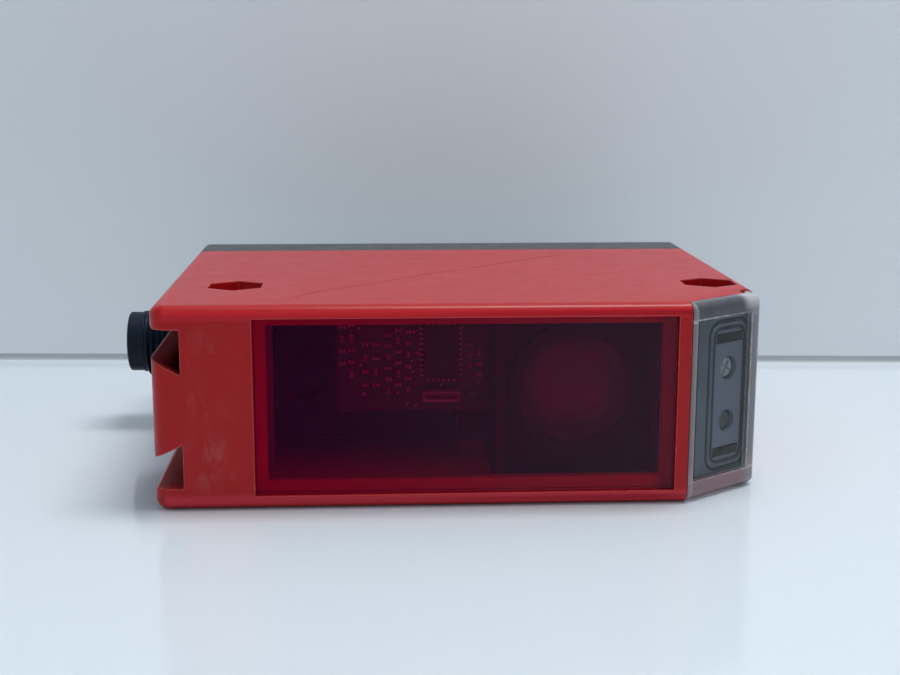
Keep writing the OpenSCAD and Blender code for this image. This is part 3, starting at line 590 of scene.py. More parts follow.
def shell_red(sets):
    """The shell: satin red with a fine texture, old adhesive on the bare label field and one long scratch, with
    painted highlights on its edges and window frame and painted shade in its crease, grooves and hollows.
    """
    f = Finish("shell_red")
    y, z = f.axes()[1:]
    front = f.fade(y, SHELL_LOW.y + 0.2 * MM, SHELL_LOW.y + 0.6 * MM)
    top = f.spread(z, SHELL_HIGH.z - 0.3 * MM, SHELL_HIGH.z - 0.05 * MM)
    soft = f.rounded(sets.edge)
    rims = f.edges(soft)
    f.cloud(60.0, sets.red, 0.93, 1.06)
    glue = f.times(old_adhesive(f), front)
    f.lay(f.times(glue, sets.residue), (0.50, 0.13, 0.13))

    # painted highlights along the edges, standing in for light on their small roundings, and small chips where the
    # window's frame was knocked
    f.lay(f.times(rims, sets.edge_highlight), (0.72, 0.10, 0.10))
    knocks = f.spread(f.noise(620.0, 4.0, 0.7), 0.60, 0.68)
    f.lay(f.times(knocks, rims, front, 0.8), (0.72, 0.30, 0.28))

    # painted light: the window's frame is painted paler above and below than the flat faces, as light from the lamp
    # and the bench falls on it
    f.lay(f.times(f.fade(z, 1.6 * MM, 2.8 * MM), front, 0.55), (0.74, 0.042, 0.080))
    f.lay(f.times(f.between(z, 28.1 * MM, 29.2 * MM, 0.4 * MM), front, 0.5), (0.66, 0.014, 0.028))

    line = f.times(long_scratch(f), top)
    f.lay(f.times(line, sets.scratch), (0.36, 0.003, 0.006))

    # painted shade: a thin dark line along the crease where the top starts to slope down to the hood
    crease = f.maths("ABSOLUTE", f.maths("SUBTRACT", f.along(D_DIR), corner_depth(sets.crease)))
    crease = f.times(f.fade(crease, 0.04 * MM, 0.22 * MM), top)
    f.lay(f.times(crease, 0.5), (0.25, 0.003, 0.005))

    # painted shade in the grooves and pockets, from their ambient occlusion
    hollow = f.add("ShaderNodeAmbientOcclusion", {"Distance": 5.0 * MM}, samples=8, only_local=True).outputs["AO"]
    f.lay(f.spread(hollow, 0.2, 0.7, sets.hollow_shade, 0.0), shade(sets.red, 0.12))
    shut = hollows(f)

    gloss = f.spread(f.noise(260.0, 5.0), 0.3, 0.7, sets.gloss - 0.02, sets.gloss + 0.02)
    gloss = f.plus(gloss, f.times(glue, 0.16), f.times(line, 0.2))
    height = f.plus(f.noise(5600.0, 2.0), f.times(line, -1.6), f.times(glue, 2.0))
    return f.done(
        Roughness=gloss, Normal=f.bump(height, sets.grain, soft=soft), IOR=1.5,
        Specular_IOR_Level=f.spread(shut, 0.0, 0.8, sets.shine, 0.0),
    )


def old_adhesive(f):
    """Smears of old adhesive on the label field, left of the window."""
    x, _, z = f.axes()
    smear = f.spread(f.noise(480.0, 6.0, 0.7, stretch=UPRIGHT, warp=0.7), 0.45, 0.64)
    streak = f.spread(f.noise(190.0), 0.40, 0.60)
    across = f.between(x, SHELL_LOW.x + 6.4 * MM, SHELL_LOW.x + 10.4 * MM, 2.4 * MM)
    return f.times(smear, streak, across, f.between(z, 5.5 * MM, 24.0 * MM, 4.0 * MM))


def long_scratch(f):
    """The long bowed scratch across the top, from the left front towards the right rear."""
    start = SHELL_LOW + Vector((17.0, 3.0, 0.0)) * MM
    turn, reach, bow = math.radians(44.4), 67.0 * MM, 8.8 * MM
    way, side = Vector((math.cos(turn), math.sin(turn), 0.0)), Vector((math.sin(turn), -math.cos(turn), 0.0))
    far = f.plus(f.along(way), -start.dot(way))
    share = f.maths("DIVIDE", far, reach)
    bend = f.times(share, f.maths("SUBTRACT", 1.0, share), bow)
    wobble = f.times(f.plus(f.noise(40.0, 2.0), -0.5), 5.0 * MM)
    off = f.maths("ABSOLUTE", f.plus(f.along(side), -start.dot(side), bend, wobble))
    patchy = f.spread(f.noise(160.0), 0.35, 0.6, 0.5, 1.0)
    return f.times(f.fade(off, 0.12 * MM, 0.5 * MM), f.between(far, 8 * MM, 64 * MM, 8 * MM), patchy)


def hollows(f):
    """Paints shade into the clamp grooves and the room behind the panel, and paints light from the window onto the
    room behind it, bright near the pane and fading to shade further back.

    Gives how far a place is shut off from the room's light."""
    x, y, z = f.axes()
    near, far = 4.9 * MM, 11.6 * MM
    upper, lower = (f.between(z, *sorted((MID_Z + up * near, MID_Z + up * far)), 0.1 * MM) for up in (1, -1))
    inward = f.spread(x, SHELL_LOW.x + 0.2 * MM, SHELL_LOW.x + 4.0 * MM, 0.45, 0.92)
    shut = f.times(
        f.plus(upper, f.times(lower, 0.7)), inward, f.fade(x, SHELL_LOW.x + 4.5 * MM, SHELL_LOW.x + 4.7 * MM),
        f.spread(y, SHELL_LOW.y + 0.5 * MM, SHELL_LOW.y + 2.6 * MM),
    )
    # painted shade in the clamp grooves
    f.lay(shut, (0.020, 0.0012, 0.003))

    low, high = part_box("window_seal")
    inside = f.times(
        f.between(x, low.x, high.x, 0.2 * MM), f.between(z, low.z - MM, high.z + MM, 0.2 * MM),
        f.spread(y, low.y, high.y),
    )
    # painted light behind the window: bright red near the pane, dark further back
    deep = f.mix(f.spread(y, high.y + 6.0 * MM, high.y + 32.0 * MM), (0.95, 0.03, 0.10), (0.16, 0.005, 0.012))
    # painted shade on the faces turned towards the window
    facing = f.add("ShaderNodeSeparateXYZ", {0: f.add("ShaderNodeNewGeometry").outputs["Normal"]}).outputs[1]
    deep = f.mix(f.fade(facing, -0.7, -0.3), deep, (0.035, 0.003, 0.006))
    f.lay(inside, deep)

    # painted shade in the room behind the panel
    low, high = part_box("panel_plate")
    pocket = f.times(
        f.between(x, low.x, high.x + MM, 0.1 * MM), f.between(z, low.z, high.z, 0.1 * MM),
        f.spread(y, low.y + 0.3 * MM, low.y + 0.5 * MM),
        f.fade(f.along(D_DIR), corner_depth(5.0 * MM), corner_depth(5.2 * MM)),
    )
    f.lay(pocket, (0.012, 0.012, 0.016))
    return f.maths("MAXIMUM", shut, pocket)


def plate_grey(sets):
    """The operating panel: matt grey, lighter inside its seal."""
    f = Finish("panel_grey")
    half = sets.lip_width / 2 - sets.lip_pitch
    inner = f.between(
        f.along(S_DIR), corner_run(sets.centre_s - half), corner_run(sets.centre_s + half), 0.2 * MM
    )
    f.cloud(140.0, sets.plate, 0.88, 1.1)
    f.lay(inner, shade(sets.plate, 1.35))
    gloss = f.spread(f.noise(420.0, 5.0), 0.3, 0.7, 0.40, 0.52)
    fine = f.bump(f.noise(5200.0, 2.0), 0.01 * MM, 0.08 * MM)
    return f.done(Roughness=gloss, Normal=fine, IOR=1.5)


def adhesive_red():
    """The red adhesive behind the pane's edges: brighter at the left and below, darker at the right."""
    f = Finish("adhesive_red")
    x, _, z = f.axes()
    low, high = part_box("window_seal")
    f.base = f.mix(f.spread(z, low.z + 1.2 * MM, high.z - MM), (0.84, 0.002, 0.06), (0.68, 0.002, 0.05))
    f.lay(f.fade(x, low.x, low.x + 4.0 * MM), (0.88, 0.002, 0.04))
    f.lay(f.spread(x, high.x - 3.0 * MM, high.x - 1.2 * MM), (0.40, 0.003, 0.05))
    f.lay(f.spread(f.noise(240.0, 4.0), 0.5, 0.8, 0.0, 0.25), (0.45, 0.002, 0.05))
    return f.done(Roughness=0.6, Normal=f.bump(f.noise(1500.0, 2.0), 0.01 * MM))


def board_green(sets):
    """Solder mask over fine tracks, with small tinned vias."""
    f = Finish("board_green")
    tracks = f.add(
        "ShaderNodeTexBrick",
        {"Vector": f.place, "Scale": 420.0, "Mortar Size": 0.06, "Color1": (0, 0, 0, 1), "Color2": (0, 0, 0, 1),
         "Mortar": (1, 1, 1, 1), "Brick Width": 0.7, "Row Height": 0.32},
    ).outputs[0]
    vias = f.add("ShaderNodeTexVoronoi", {"Vector": f.place, "Scale": 620.0}, feature="F1").outputs[0]
    tin = f.fade(vias, 0.08, 0.14)
    f.base = f.mix(tracks, sets.mask, shade(sets.mask, 2.2))
    f.lay(tin, sets.tin)
    height = f.plus(tracks, f.noise(900.0, 2.0))
    return f.done(Roughness=0.28, Normal=f.bump(height, 0.02 * MM), Metallic=tin)


def glossy_floor(name, tone, rough, foot=0.0):
    """Coated board: pale, faintly cloudy and slightly glossy, with a shaded foot where it has one."""
    f = Finish(name)
    f.cloud(5.0, tone, 0.975, 1.02, detail=3.0)
    if foot:
        z = f.axes()[2]
        shaded = f.mix(f.spread(z, -0.2 * foot, 0.55 * foot), shade(tone, 1.12), shade(tone, 0.57))
        f.lay(f.fade(z, 0.93 * foot, 1.07 * foot), shaded)
    gloss = f.spread(f.noise(14.0, 4.0), 0.3, 0.7, rough - 0.03, rough + 0.04)
    return f.surface(Roughness=gloss, IOR=1.45), f


# ---- Operators ----


class SENSOR_OT_shell(bpy.types.Operator):
    """Finish the moulded shell, its rear cover and the cover's seal"""

    bl_idname = "sensor.shell"
    bl_label = "Shell and cover"

    def execute(self, context):
        sets = context.scene.sensor_shell
        shell = from_node("moulded_shell", "housing")
        self.round_corner(shell, sets)
        with editing(shell):
            pick(shell, "edges", self.is_crease)
            bpy.ops.mesh.mark_sharp()
        hand_over(shell, "body", shell_red(sets), ["housing"], angle=28)
        cover = from_node("rear_shell", "rear_cover")
        grey = moulded("cover_grey", sets.cover, rough=0.5, grain=0.02 * MM, edge=sets.edge)
        hand_over(cover, "body", grey, ["rear_cover"], angle=28)
        dress(moulded("seal_black", (0.012, 0.012, 0.014), rough=0.7, grain=0.02 * MM), "rear_seal", "connector_seal")
        dress(adhesive_red(), "window_seal")
        return {"FINISHED"}

    def round_corner(self, shell, sets):
        """Rolls the front left corner over at its top and bottom, where three soft edges meet."""
        margin, beyond = 0.01 * MM, 10.0 * MM
        low = SHELL_LOW - Vector((margin, margin, margin))
        high = SHELL_HIGH + Vector((beyond, beyond, margin))
        mould = block("corner_mould", low, high)

        def is_upright(edge):
            return all(abs(vertex.co.x - low.x) + abs(vertex.co.y - low.y) < margin for vertex in edge.verts)

        def is_rim(edge):
            first, last = (vertex.co for vertex in edge.verts)
            middle = (first + last) / 2
            return abs(first.z - last.z) < margin and middle.x < high.x - margin and middle.y < high.y - margin

        with editing(mould):
            pick(mould, "edges", is_upright)
            bpy.ops.mesh.bevel(offset=sets.corner, segments=14)
            pick(mould, "edges", is_rim)
            bpy.ops.mesh.bevel(offset=sets.tip, segments=8)
        cut(shell, mould, "INTERSECT")
        with editing(shell):
            tidy_mesh()

    def is_crease(self, edge):
        """The line where the mounting faces start to slope down to the hood."""
        first, last = (vertex.co for vertex in edge.verts)
        level = all(abs(place.z - MID_Z) > MID_Z - 0.1 * MM for place in (first, last))
        return level and abs((last - first).normalized().dot(S_DIR)) > 0.999


class SENSOR_OT_cover_screws(bpy.types.Operator):
    """Model one countersunk cover screw with its cross recess, and copy it to the four corners"""

    bl_idname = "sensor.cover_screws"
    bl_label = "Cover screws"

    def execute(self, context):
        low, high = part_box("cover_screws")
        head, shank, length = 2.7, 1.25, (high.y - low.y) / MM
        outline = [
            (0.0, 0.0), (0.5, shank * 0.8), (0.9, shank), (length - 1.5, shank), (length - 0.16, head),
            (length - 0.05, head), (length, head - 0.12), (length, 0.0),
        ]
        screw = turned("cover_screw_set", outline)
        cross_recess(screw, 1.35, 0.28, length - 1.1, length + 1.0, taper=(0.45, 1.0, 0.8))
        soften(screw, 0.05 * MM, 2, 40)
        inset = head * MM
        places = [(x, low.y, z) for x in (low.x + inset, high.x - inset) for z in (low.z + inset, high.z - inset)]
        repeated(screw, [
            Matrix.Translation(place) @ Matrix.Rotation(math.radians(23 * number), 4, "Y")
            for number, place in enumerate(places)
        ])
        steel = metal("zinc_steel", (0.60, 0.60, 0.58), rough=0.3)
        hand_over(screw, "body", steel, ["cover_screws"])
        dress(steel, "hood_pin", "panel_screws", "optics_screws", "power_screws")
        dress(moulded("blackened_steel", (0.014, 0.014, 0.016), rough=0.4, grain=0.004 * MM), "board_screws")
        return {"FINISHED"}


class SENSOR_OT_window(bpy.types.Operator):
    """Model the filter pane with its softened edges"""

    bl_idname = "sensor.window"
    bl_label = "Filter window"

    def execute(self, context):
        sets = context.scene.sensor_window
        low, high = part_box("front_window")
        pane = soften(block("filter_pane", low, high - Vector((0, sets.seal_gap, 0))), sets.edge)
        glass = see_through(
            "filter_red", sets.tint, 1.3, 0.01, sets.left_reflection_tint, sets.haze, across=(low.x, high.x, sets.reflection_tint)
        )
        hand_over(pane, "body", glass, ["front_window"])
        return {"FINISHED"}


class SENSOR_OT_hood(bpy.types.Operator):
    """Model the clear corner hood with its milky rims and moulding mark"""

    bl_idname = "sensor.hood"
    bl_label = "Corner hood"

    def execute(self, context):
        sets = context.scene.sensor_hood
        hood = from_node("clear_hood", "hood")
        low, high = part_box("hood")
        clear = see_through("clear_plastic", sets.tint, 1.25, 0.02)
        floor, roof = low.z + sets.low_rim, high.z - sets.rim
        cuts = [((0, 0, z), (0, 0, 1)) for z in (floor, roof)]
        cuts += [(panel_point(s, 0, 0), S_DIR) for s in (sets.rim_left, sets.rim_right)]
        with editing(hood):
            for place, way in cuts:
                bpy.ops.mesh.select_all(action="SELECT")
                bpy.ops.mesh.bisect(plane_co=place, plane_no=way)
        hand_over(hood, "hood", clear, ["hood"], angle=30)
        hood.data.materials.append(clear_rim(sets))
        for face in hood.data.polygons:
            run = face.center.dot(S_DIR) - corner_run(0)
            clear_face = floor < face.center.z < roof and sets.rim_left < run < sets.rim_right
            face.material_index = int(not clear_face)
        rim = sets.gate / MM
        outline = [
            (0.0, 0.0), (0.0, rim), (-0.05, rim - 0.08), (-0.06, rim * 0.55), (-0.02, rim * 0.35), (-0.02, 0.0),
        ]
        gate = turned("hood_gate_mark", outline, panel_point(*mm(6.1, 0.01, 14.4)), D_DIR, 24)
        hand_over(gate, "hood", clear)
        return {"FINISHED"}


class SENSOR_OT_panel(bpy.types.Operator):
    """Model the operating panel's seal lips, indicator windows, adjuster and button"""

    bl_idname = "sensor.panel"
    bl_label = "Operating panel"

    def execute(self, context):
        sets = context.scene.sensor_panel
        plate = from_node("control_plate", "panel_plate")
        hand_over(plate, "body", plate_grey(sets), ["panel_plate"])
        self.lips(sets)
        self.indicators(sets)
        self.controls(sets)
        dress(moulded("led_white", (0.72, 0.70, 0.58), rough=0.25), "indicator_leds")
        dress(moulded("trimmer_blue", (0.015, 0.03, 0.16), rough=0.35), "adjuster_body")
        dress(moulded("switch_grey", (0.20, 0.20, 0.21), rough=0.45), "button_switch")
        return {"FINISHED"}

    def lips(self, sets):
        """Two rounded lips that run round the controls."""
        front = 1.35 * MM
        corner_radius, radius_step = 2.25 * MM, 0.8 * MM
        rings = []
        for number in (0, 1):
            inset = number * sets.lip_pitch + sets.lip_thick / 2
            half_w, half_h = sets.lip_width / 2 - inset, sets.lip_height / 2 - inset
            radius = corner_radius - number * radius_step
            points = []
            for index in range(64):
                corner, step = divmod(index, 16)
                angle = math.radians(90 * (corner + step / 15))
                cx = (half_w - radius) * (1 if corner in (0, 3) else -1)
                cz = (half_h - radius) * (1 if corner in (0, 1) else -1)
                points.append((cx + radius * math.cos(angle), 0.0, cz + radius * math.sin(angle)))
            ring = converted(loop("seal_lip_%d" % number, points), "CURVE")
            ring.data.bevel_depth = sets.lip_thick / 2
            ring.data.bevel_resolution = 4
            ring = converted(ring, "MESH")
            ring.location = (sets.centre_s, front + sets.lip_thick / 2, MID_Z)
            rings.append(settle(ring))
        join(*rings)
        seal = rings[0]
        seal.name = "panel_seal"
        with editing(seal):
            tidy_mesh()
        rubber = moulded("seal_grey", sets.seal, rough=0.55, grain=0.01 * MM, edge=0.05 * MM)
        hand_over(to_corner(seal), "body", rubber, ["panel_gasket"], angle=60)

    def indicators(self, sets):
        lens = block("indicator_lens_set", mm(-2.9, 0.0, -0.7), mm(2.9, 1.75, 0.7))
        soften(lens, 0.16 * MM, 4)
        repeated(lens, [
            Matrix.Translation((sets.centre_s, 1.5 * MM, MID_Z + side * 8.8 * MM)) for side in (-1, 1)
        ])
        dark = moulded("indicator_dark", (0.004, 0.005, 0.008), rough=0.3, grain=0.002 * MM, edge=0.0, ior=1.25)
        hand_over(to_corner(lens), "body", dark, ["indicator_windows"])

    def controls(self, sets):
        knob_r, stem_r = 1.5, 0.6
        outline = [
            (0.0, 0.0), (0.0, knob_r - 0.15), (0.12, knob_r), (0.85, knob_r), (0.85, stem_r), (1.45, stem_r),
            (1.45, 0.0),
        ]
        knob = turned("adjuster_rotor", outline)
        cross_recess(knob, 1.12, 0.2, -1.0, 0.38, turn=30)
        knob.location = (sets.centre_s, 2.1 * MM, JOINTS["adjuster_turn"]["pos_m"][2])
        settle(knob)
        light = moulded("rotor_light", (0.40, 0.41, 0.44), rough=0.32, grain=0.004 * MM, edge=0.06 * MM)
        hand_over(to_corner(knob), "adjuster", light, ["range_adjuster"])

        cap_r, stem_r, cap_end, stem_end = 1.4, 0.8, 1.05, 1.3
        outline = [
            (0.1, 0.0), (0.07, cap_r * 0.5), (0.0, cap_r - 0.3), (0.05, cap_r - 0.1), (0.2, cap_r), (cap_end, cap_r),
            (cap_end, stem_r), (stem_end, stem_r), (stem_end, 0.0),
        ]
        cap = turned("teach_cap", outline)
        cap.location = (sets.centre_s, 2.0 * MM, MID_Z - 4.05 * MM)
        settle(cap)
        dark = moulded("button_dark", (0.022, 0.027, 0.034), rough=0.34, grain=0.004 * MM, edge=0.05 * MM)
        hand_over(to_corner(cap), "button", dark, ["teach_button"], angle=50)


class SENSOR_OT_connector(bpy.types.Operator):
    """Model the M12 connector's shell with its thread, and its pins"""

    bl_idname = "sensor.connector"
    bl_label = "M12 connector"

    def execute(self, context):
        sets = context.scene.sensor_connector
        low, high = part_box("connector_shell")
        centre = Vector((low.x, (low.y + high.y) / 2, (low.z + high.z) / 2))
        length, wall = (high.x - low.x) / MM, (SHELL_LOW.x - low.x) / MM
        mouth, crest, flange = 4.2, 5.95, 7.0
        nose, root, seat = sets.nose / MM, crest - sets.depth / MM, wall - 2.0
        outline = [
            (0.0, mouth + 0.15), (0.0, 5.0), (0.2, 5.2), (nose - 0.1, 5.2), (nose, root), (seat - 0.1, root),
            (seat, root + 0.1), (seat, flange - 0.3), (seat + 0.3, flange), (wall - 0.2, flange),
            (wall, flange - 0.2), (wall, 5.0), (length - 0.3, 5.0), (length, 4.7), (length, mouth), (0.15, mouth),
        ]
        shell = turned("m12_shell", outline, centre, (1, 0, 0), 96)
        half_key = sets.key / MM / 2
        cut(shell, block("notch", centre + mm(-1.0, -half_key, mouth - 0.3), centre + mm(1.3, half_key, flange)))
        self.thread(sets, shell, centre, root * MM, crest * MM, seat * MM)
        black = moulded("connector_black", sets.black, rough=0.36, grain=0.006 * MM, edge=0.06 * MM, ior=1.27)
        hand_over(shell, "body", black, ["connector_shell"], angle=24)
        self.pins()
        dress(black, "connector_insert")
        dress(metal("plated_nut", (0.66, 0.62, 0.52), rough=0.3), "connector_nut")
        dress(moulded("lead_brown", (0.13, 0.055, 0.03), rough=0.4), "connector_leads")
        return {"FINISHED"}

    def thread(self, sets, shell, centre, root, crest, end):
        """A ridge wound round the shell, that fades into its core at both ends."""
        turns = math.floor((end - sets.nose - 0.5 * MM) / sets.pitch)
        section = [(0.04, -0.12), (0.06, 0.0), (0.42, 1.0), (0.58, 1.0), (0.94, 0.0), (0.96, -0.12)]
        height = crest - root
        ridge = loop("thread_ridge", [(share * sets.pitch, 0.0, root + rise * height) for share, rise in section])
        ridge.location = centre + Vector((sets.nose + 0.1 * MM, 0.0, 0.0))
        steps = 60
        apply_modifier(
            ridge, "SCREW", axis="X", angle=math.tau, screw_offset=sets.pitch, iterations=turns, steps=steps,
            render_steps=steps,
        )
        span, fade, core = turns * sets.pitch, 0.35 * sets.pitch, root - 0.05 * MM
        for vertex in ridge.data.vertices:
            radius = math.hypot(vertex.co.y, vertex.co.z)
            # the turn's own start along the axis tells how far along the ridge this point is
            turn = (math.atan2(-vertex.co.y, vertex.co.z) / math.tau) % 1.0
            wound = (round(vertex.co.x / sets.pitch - 0.5 - turn) + turn) * sets.pitch
            share = min(1.0, max(0.0, wound / fade), max(0.0, (span - wound) / fade))
            sunk = (core + (radius - core) * share) / radius
            vertex.co.y *= sunk
            vertex.co.z *= sunk
        with editing(ridge):
            pick(ridge, "edges", lambda edge: edge.is_boundary)
            bpy.ops.mesh.edge_face_add()
            tidy_mesh()
        settle(ridge)
        join(shell, ridge)

    def pins(self):
        low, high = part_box("connector_pins")
        radius, length = 0.5 * MM, (high.x - low.x) / MM
        outline = [(0.0, 0.0), (0.03, 0.25), (0.15, 0.42), (0.4, 0.5), (length, 0.5), (length, 0.0)]
        pin = turned("contact_pin_set", outline, axis=(1, 0, 0), steps=24)
        repeated(pin, [
            Matrix.Translation((low.x, y, z))
            for y in (low.y + radius, high.y - radius) for z in (low.z + radius, high.z - radius)
        ])
        hand_over(pin, "body", metal("pin_gold", (0.83, 0.58, 0.22), rough=0.16), ["connector_pins"])


class SENSOR_OT_boards(bpy.types.Operator):
    """Finish the boards, and model the chips and the processor that are seen through the window"""

    bl_idname = "sensor.boards"
    bl_label = "Boards"

    def execute(self, context):
        sets = context.scene.sensor_board
        green = board_green(sets)
        dress(green, "main_board", "power_board", "receiver_board", "panel_board")
        tin = moulded("tinned", shade(sets.tin, 0.9), rough=0.3, grain=0.004 * MM, edge=0.0)
        self.chips(tin)
        self.processor(tin)
        dress(moulded("plug_cream", (0.42, 0.38, 0.28), rough=0.5), "board_connector")
        dress(moulded("power_grey", (0.012, 0.012, 0.018), rough=0.5), "power_parts")
        # the ribbons are coloured dark grey
        dress(moulded("ribbon_white", (0.05, 0.05, 0.045), rough=0.35), "link_ribbon", "panel_ribbon")
        return {"FINISHED"}

    def chips(self, tin):
        """One chip resistor with tinned ends, copied along upright columns."""
        board_low, board_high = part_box("main_board")
        body = block("chip_part_set", mm(-0.27, -0.46, -0.27), mm(0.27, 0.0, 0.27))
        soften(body, 0.03 * MM, 2)
        body.data.materials.append(moulded("chip_brown", (0.34, 0.22, 0.17), rough=0.4))
        for low, high in ((-0.45, -0.25), (0.25, 0.45)):
            end = soften(block("end", mm(low, -0.5, -0.3), mm(high, 0.0, 0.3)), 0.05 * MM, 2)
            end.data.materials.append(tin)
            join(body, end)
        # distance from the board's right end, height of the lowest, how many, and their spacing, in millimetres
        columns = [
            (22.1, 7.6, 4, 1.9), (20.7, 5.9, 5, 1.9), (18.6, 4.2, 4, 2.1), (17.0, 4.2, 4, 2.1),
            (15.1, 3.4, 6, 1.7), (13.6, 4.2, 6, 1.7), (12.1, 3.4, 6, 1.8), (2.7, 7.2, 3, 1.6), (1.3, 5.6, 3, 1.7),
        ]
        places = []
        for back, height, count, pitch in columns:
            for step in range(count):
                x = board_high.x - back * MM
                z = board_low.z + (height + step * pitch) * MM
                if x > board_low.x + 0.8 * MM and z < board_high.z - 0.6 * MM:
                    upright = (step + round(back)) % 3 == 0
                    turn = Matrix.Rotation(math.radians(90 if upright else 0), 4, "Y")
                    places.append(Matrix.Translation((x, board_low.y, z)) @ turn)
        repeated(body, places)
        hand_over(body, "body", nodes=["board_parts"])

    def processor(self, tin):
        """A leaded chip: a chamfered body with its pin one dimple, and bent leads on four sides."""
        low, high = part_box("processor")
        mid = (low + high) / 2
        lead_reach, standoff = 0.65 * MM, 0.1 * MM
        half_w, half_h = (high.x - low.x) / 2 - lead_reach, (high.z - low.z) / 2 - lead_reach
        inset = Vector((lead_reach, 0.0, lead_reach))
        body = block("processor_chip", low + inset, high - inset - Vector((0.0, standoff, 0.0)))
        soften(body, 0.12 * MM, 1)
        outline = [(-0.3, 0.0), (-0.3, 0.3), (0.08, 0.3), (0.08, 0.0)]
        pin_one = (mid.x - half_w + 0.8 * MM, low.y, mid.z + half_h - 0.8 * MM)
        cut(body, turned("dimple", outline, pin_one, steps=20))
        lead = block("lead", mm(-0.16, -0.62, 0.0), mm(0.16, -0.5, 0.28))
        with editing(lead):
            for shift in (mm(0.0, 0.42, 0.12), mm(0.0, 0.05, 0.3)):
                pick(lead, "faces", lambda face: face.normal.z > 0.5 and face.calc_center_median().z > 0.27 * MM)
                bpy.ops.mesh.extrude_region_move(TRANSFORM_OT_translate={"value": shift})
        lead.data.materials.append(tin)
        pitch, corner_gap = 0.8 * MM, 0.9 * MM
        places = []
        for side in range(4):
            reach, run = (half_h, half_w) if side % 2 == 0 else (half_w, half_h)
            count = int((2 * run - corner_gap) / pitch) + 1
            for step in range(count):
                shift = (step - (count - 1) / 2) * pitch
                places.append(
                    Matrix.Translation((mid.x, high.y, mid.z)) @ Matrix.Rotation(math.radians(90 * side), 4, "Y")
                    @ Matrix.Translation((shift, 0.0, reach - 0.05 * MM))
                )
        repeated(lead, places)
        body.data.materials.append(moulded("chip_black", (0.014, 0.014, 0.016), rough=0.5, grain=0.008 * MM))
        join(body, lead)
        hand_over(body, "body", nodes=["processor"])


class SENSOR_OT_optics(bpy.types.Operator):
    """Model the receiver lens, and finish the carrier, the emitter and the detector"""

    bl_idname = "sensor.optics"
    bl_label = "Optics"

    def execute(self, context):
        low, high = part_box("receiver_lens")
        centre = Vector(((low.x + high.x) / 2, high.y, (low.z + high.z) / 2))
        radius, thick, edge = (high.x - low.x) / MM / 2, (high.y - low.y) / MM, 1.2
        sag = thick - edge
        ball = (radius**2 + sag**2) / (2 * sag)
        outline = [(0.0, 0.0), (0.0, radius - 0.1), (-0.1, radius), (-edge + 0.1, radius)]
        for step in range(14, -1, -1):
            r = (radius - 0.05) * step / 14
            outline.append((-(edge + math.sqrt(ball**2 - r**2) - (ball - sag)), r))
        lens = turned("receiver_dome", outline, centre, steps=96)
        pinkish = see_through("lens_clear", (0.92, 0.80, 0.84), 1.45, 0.01, milky=0.045)
        hand_over(lens, "body", pinkish, ["receiver_lens"], angle=40)
        black = moulded("optics_black", (0.013, 0.012, 0.015), rough=0.6, grain=0.012 * MM, edge=0.12 * MM)
        dress(black, "optics_carrier", "lens_ring")
        holder = moulded("holder_black", (0.020, 0.005, 0.009), rough=0.7, grain=0.012 * MM, edge=0.0, ior=1.3)
        dress(holder, "emitter_holder")
        dress(see_through("coated_glass", (0.03, 0.02, 0.03), 1.4, 0.02, reflection_tint=(0.3, 0.2, 0.5)), "emitter_lens")
        dress(moulded("detector_dark", (0.03, 0.018, 0.028), rough=0.2), "photodetector")
        dress(metal("diode_gold", (0.72, 0.55, 0.25), rough=0.22), "laser_diode")
        return {"FINISHED"}


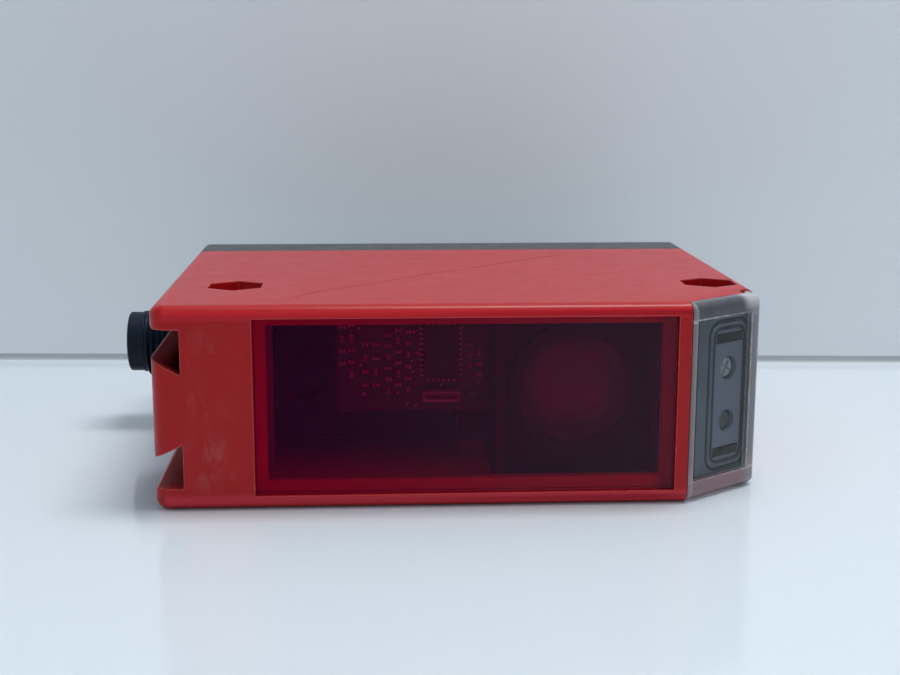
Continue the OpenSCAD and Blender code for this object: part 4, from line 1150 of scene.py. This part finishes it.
class SENSOR_OT_stage(bpy.types.Operator):
    """Set up the bench, the wall, the lamps and the camera"""

    bl_idname = "sensor.stage"
    bl_label = "Stage"

    def execute(self, context):
        sets = context.scene.sensor_stage
        bench = fresh("bench", bpy.ops.mesh.primitive_plane_add, size=6.0, location=(0, 0, 0))
        shader, f = glossy_floor("bench_white", sets.bench, 0.10)
        bench.data.materials.append(f.done(shader))
        wall = fresh("wall", bpy.ops.mesh.primitive_plane_add, size=6.0, location=(0, sets.wall_y, 3.0),
                     rotation=(math.radians(90), 0, sets.wall_turn))
        shader, f = glossy_floor("wall_paint", sets.wall, 0.5, sets.foot)
        back = f.add("ShaderNodeNewGeometry").outputs["Backfacing"]
        clear = f.add("ShaderNodeBsdfTransparent").outputs[0]
        wall.data.materials.append(f.done(f.add("ShaderNodeMixShader", {0: back, 1: shader, 2: clear}).outputs[0]))
        for stage_piece in (bench, wall):
            settle(stage_piece)
        self.lights(context, sets)
        self.camera(context)
        context.scene.view_settings.view_transform = "Standard"
        return {"FINISHED"}

    def lights(self, context, sets):
        world = bpy.data.worlds.new("room")
        context.scene.world = world
        world.use_nodes = True
        sky = world.node_tree.nodes["Background"]
        sky.inputs["Color"].default_value = (0.86, 0.93, 1.0, 1.0)
        sky.inputs["Strength"].default_value = sets.sky
        lamp = bpy.data.lights.new("key_lamp", "AREA")
        lamp.size = 0.22
        lamp.energy = sets.key
        lamp.color = (1.0, 0.99, 0.97)
        obj = bpy.data.objects.new("key_lamp", lamp)
        obj.location = (0.10, 0.05, 0.50)
        target = Vector((0.0, 0.01, 0.0))
        obj.rotation_euler = (target - obj.location).to_track_quat("-Z", "Y").to_euler()
        context.scene.collection.objects.link(obj)

    def camera(self, context):
        data = bpy.data.cameras.new("camera")
        data.lens = 55.65
        data.clip_start, data.clip_end = 0.01, 20.0
        camera = bpy.data.objects.new("camera", data)
        ahead = Vector((0.056021, 0.979217, -0.194926)).normalized()
        right = Vector((0.99839, -0.056674, 0.002226)).normalized()
        up = right.cross(ahead)
        turn = Matrix((right, up, -ahead)).transposed()
        camera.matrix_world = Matrix.Translation((-0.015883, -0.212835, 0.063938)) @ turn.to_4x4()
        context.scene.collection.objects.link(camera)
        context.scene.camera = camera


# ---- Panel and registration ----

GROUPS = {
    "sensor_shell": ShellSettings,
    "sensor_window": WindowSettings,
    "sensor_hood": HoodSettings,
    "sensor_panel": PanelSettings,
    "sensor_connector": ConnectorSettings,
    "sensor_board": BoardSettings,
    "sensor_stage": StageSettings,
}
STEPS = [
    SENSOR_OT_stage, SENSOR_OT_shell, SENSOR_OT_cover_screws, SENSOR_OT_window, SENSOR_OT_hood,
    SENSOR_OT_panel, SENSOR_OT_connector, SENSOR_OT_boards, SENSOR_OT_optics,
]


class SENSOR_PT_tools(bpy.types.Panel):
    """The sensor's settings and the buttons that build it"""

    bl_label = "Laser distance sensor"
    bl_space_type = "VIEW_3D"
    bl_region_type = "UI"
    bl_category = "Sensor"

    def draw(self, context):
        for name, group in GROUPS.items():
            box = self.layout.box()
            for prop in group.__annotations__:
                box.prop(getattr(context.scene, name), prop)
        for step in STEPS:
            self.layout.operator(step.bl_idname)


def register():
    for name, group in GROUPS.items():
        bpy.utils.register_class(group)
        setattr(bpy.types.Scene, name, bpy.props.PointerProperty(type=group))
    for step in (*STEPS, SENSOR_PT_tools):
        bpy.utils.register_class(step)


def unregister():
    for step in (SENSOR_PT_tools, *reversed(STEPS)):
        bpy.utils.unregister_class(step)
    for name, group in GROUPS.items():
        delattr(bpy.types.Scene, name)
        bpy.utils.unregister_class(group)


def main():
    register()
    for step in STEPS:
        group, name = step.bl_idname.split(".")
        getattr(getattr(bpy.ops, group), name)()
    deselect()


if __name__ == "__main__":
    main()
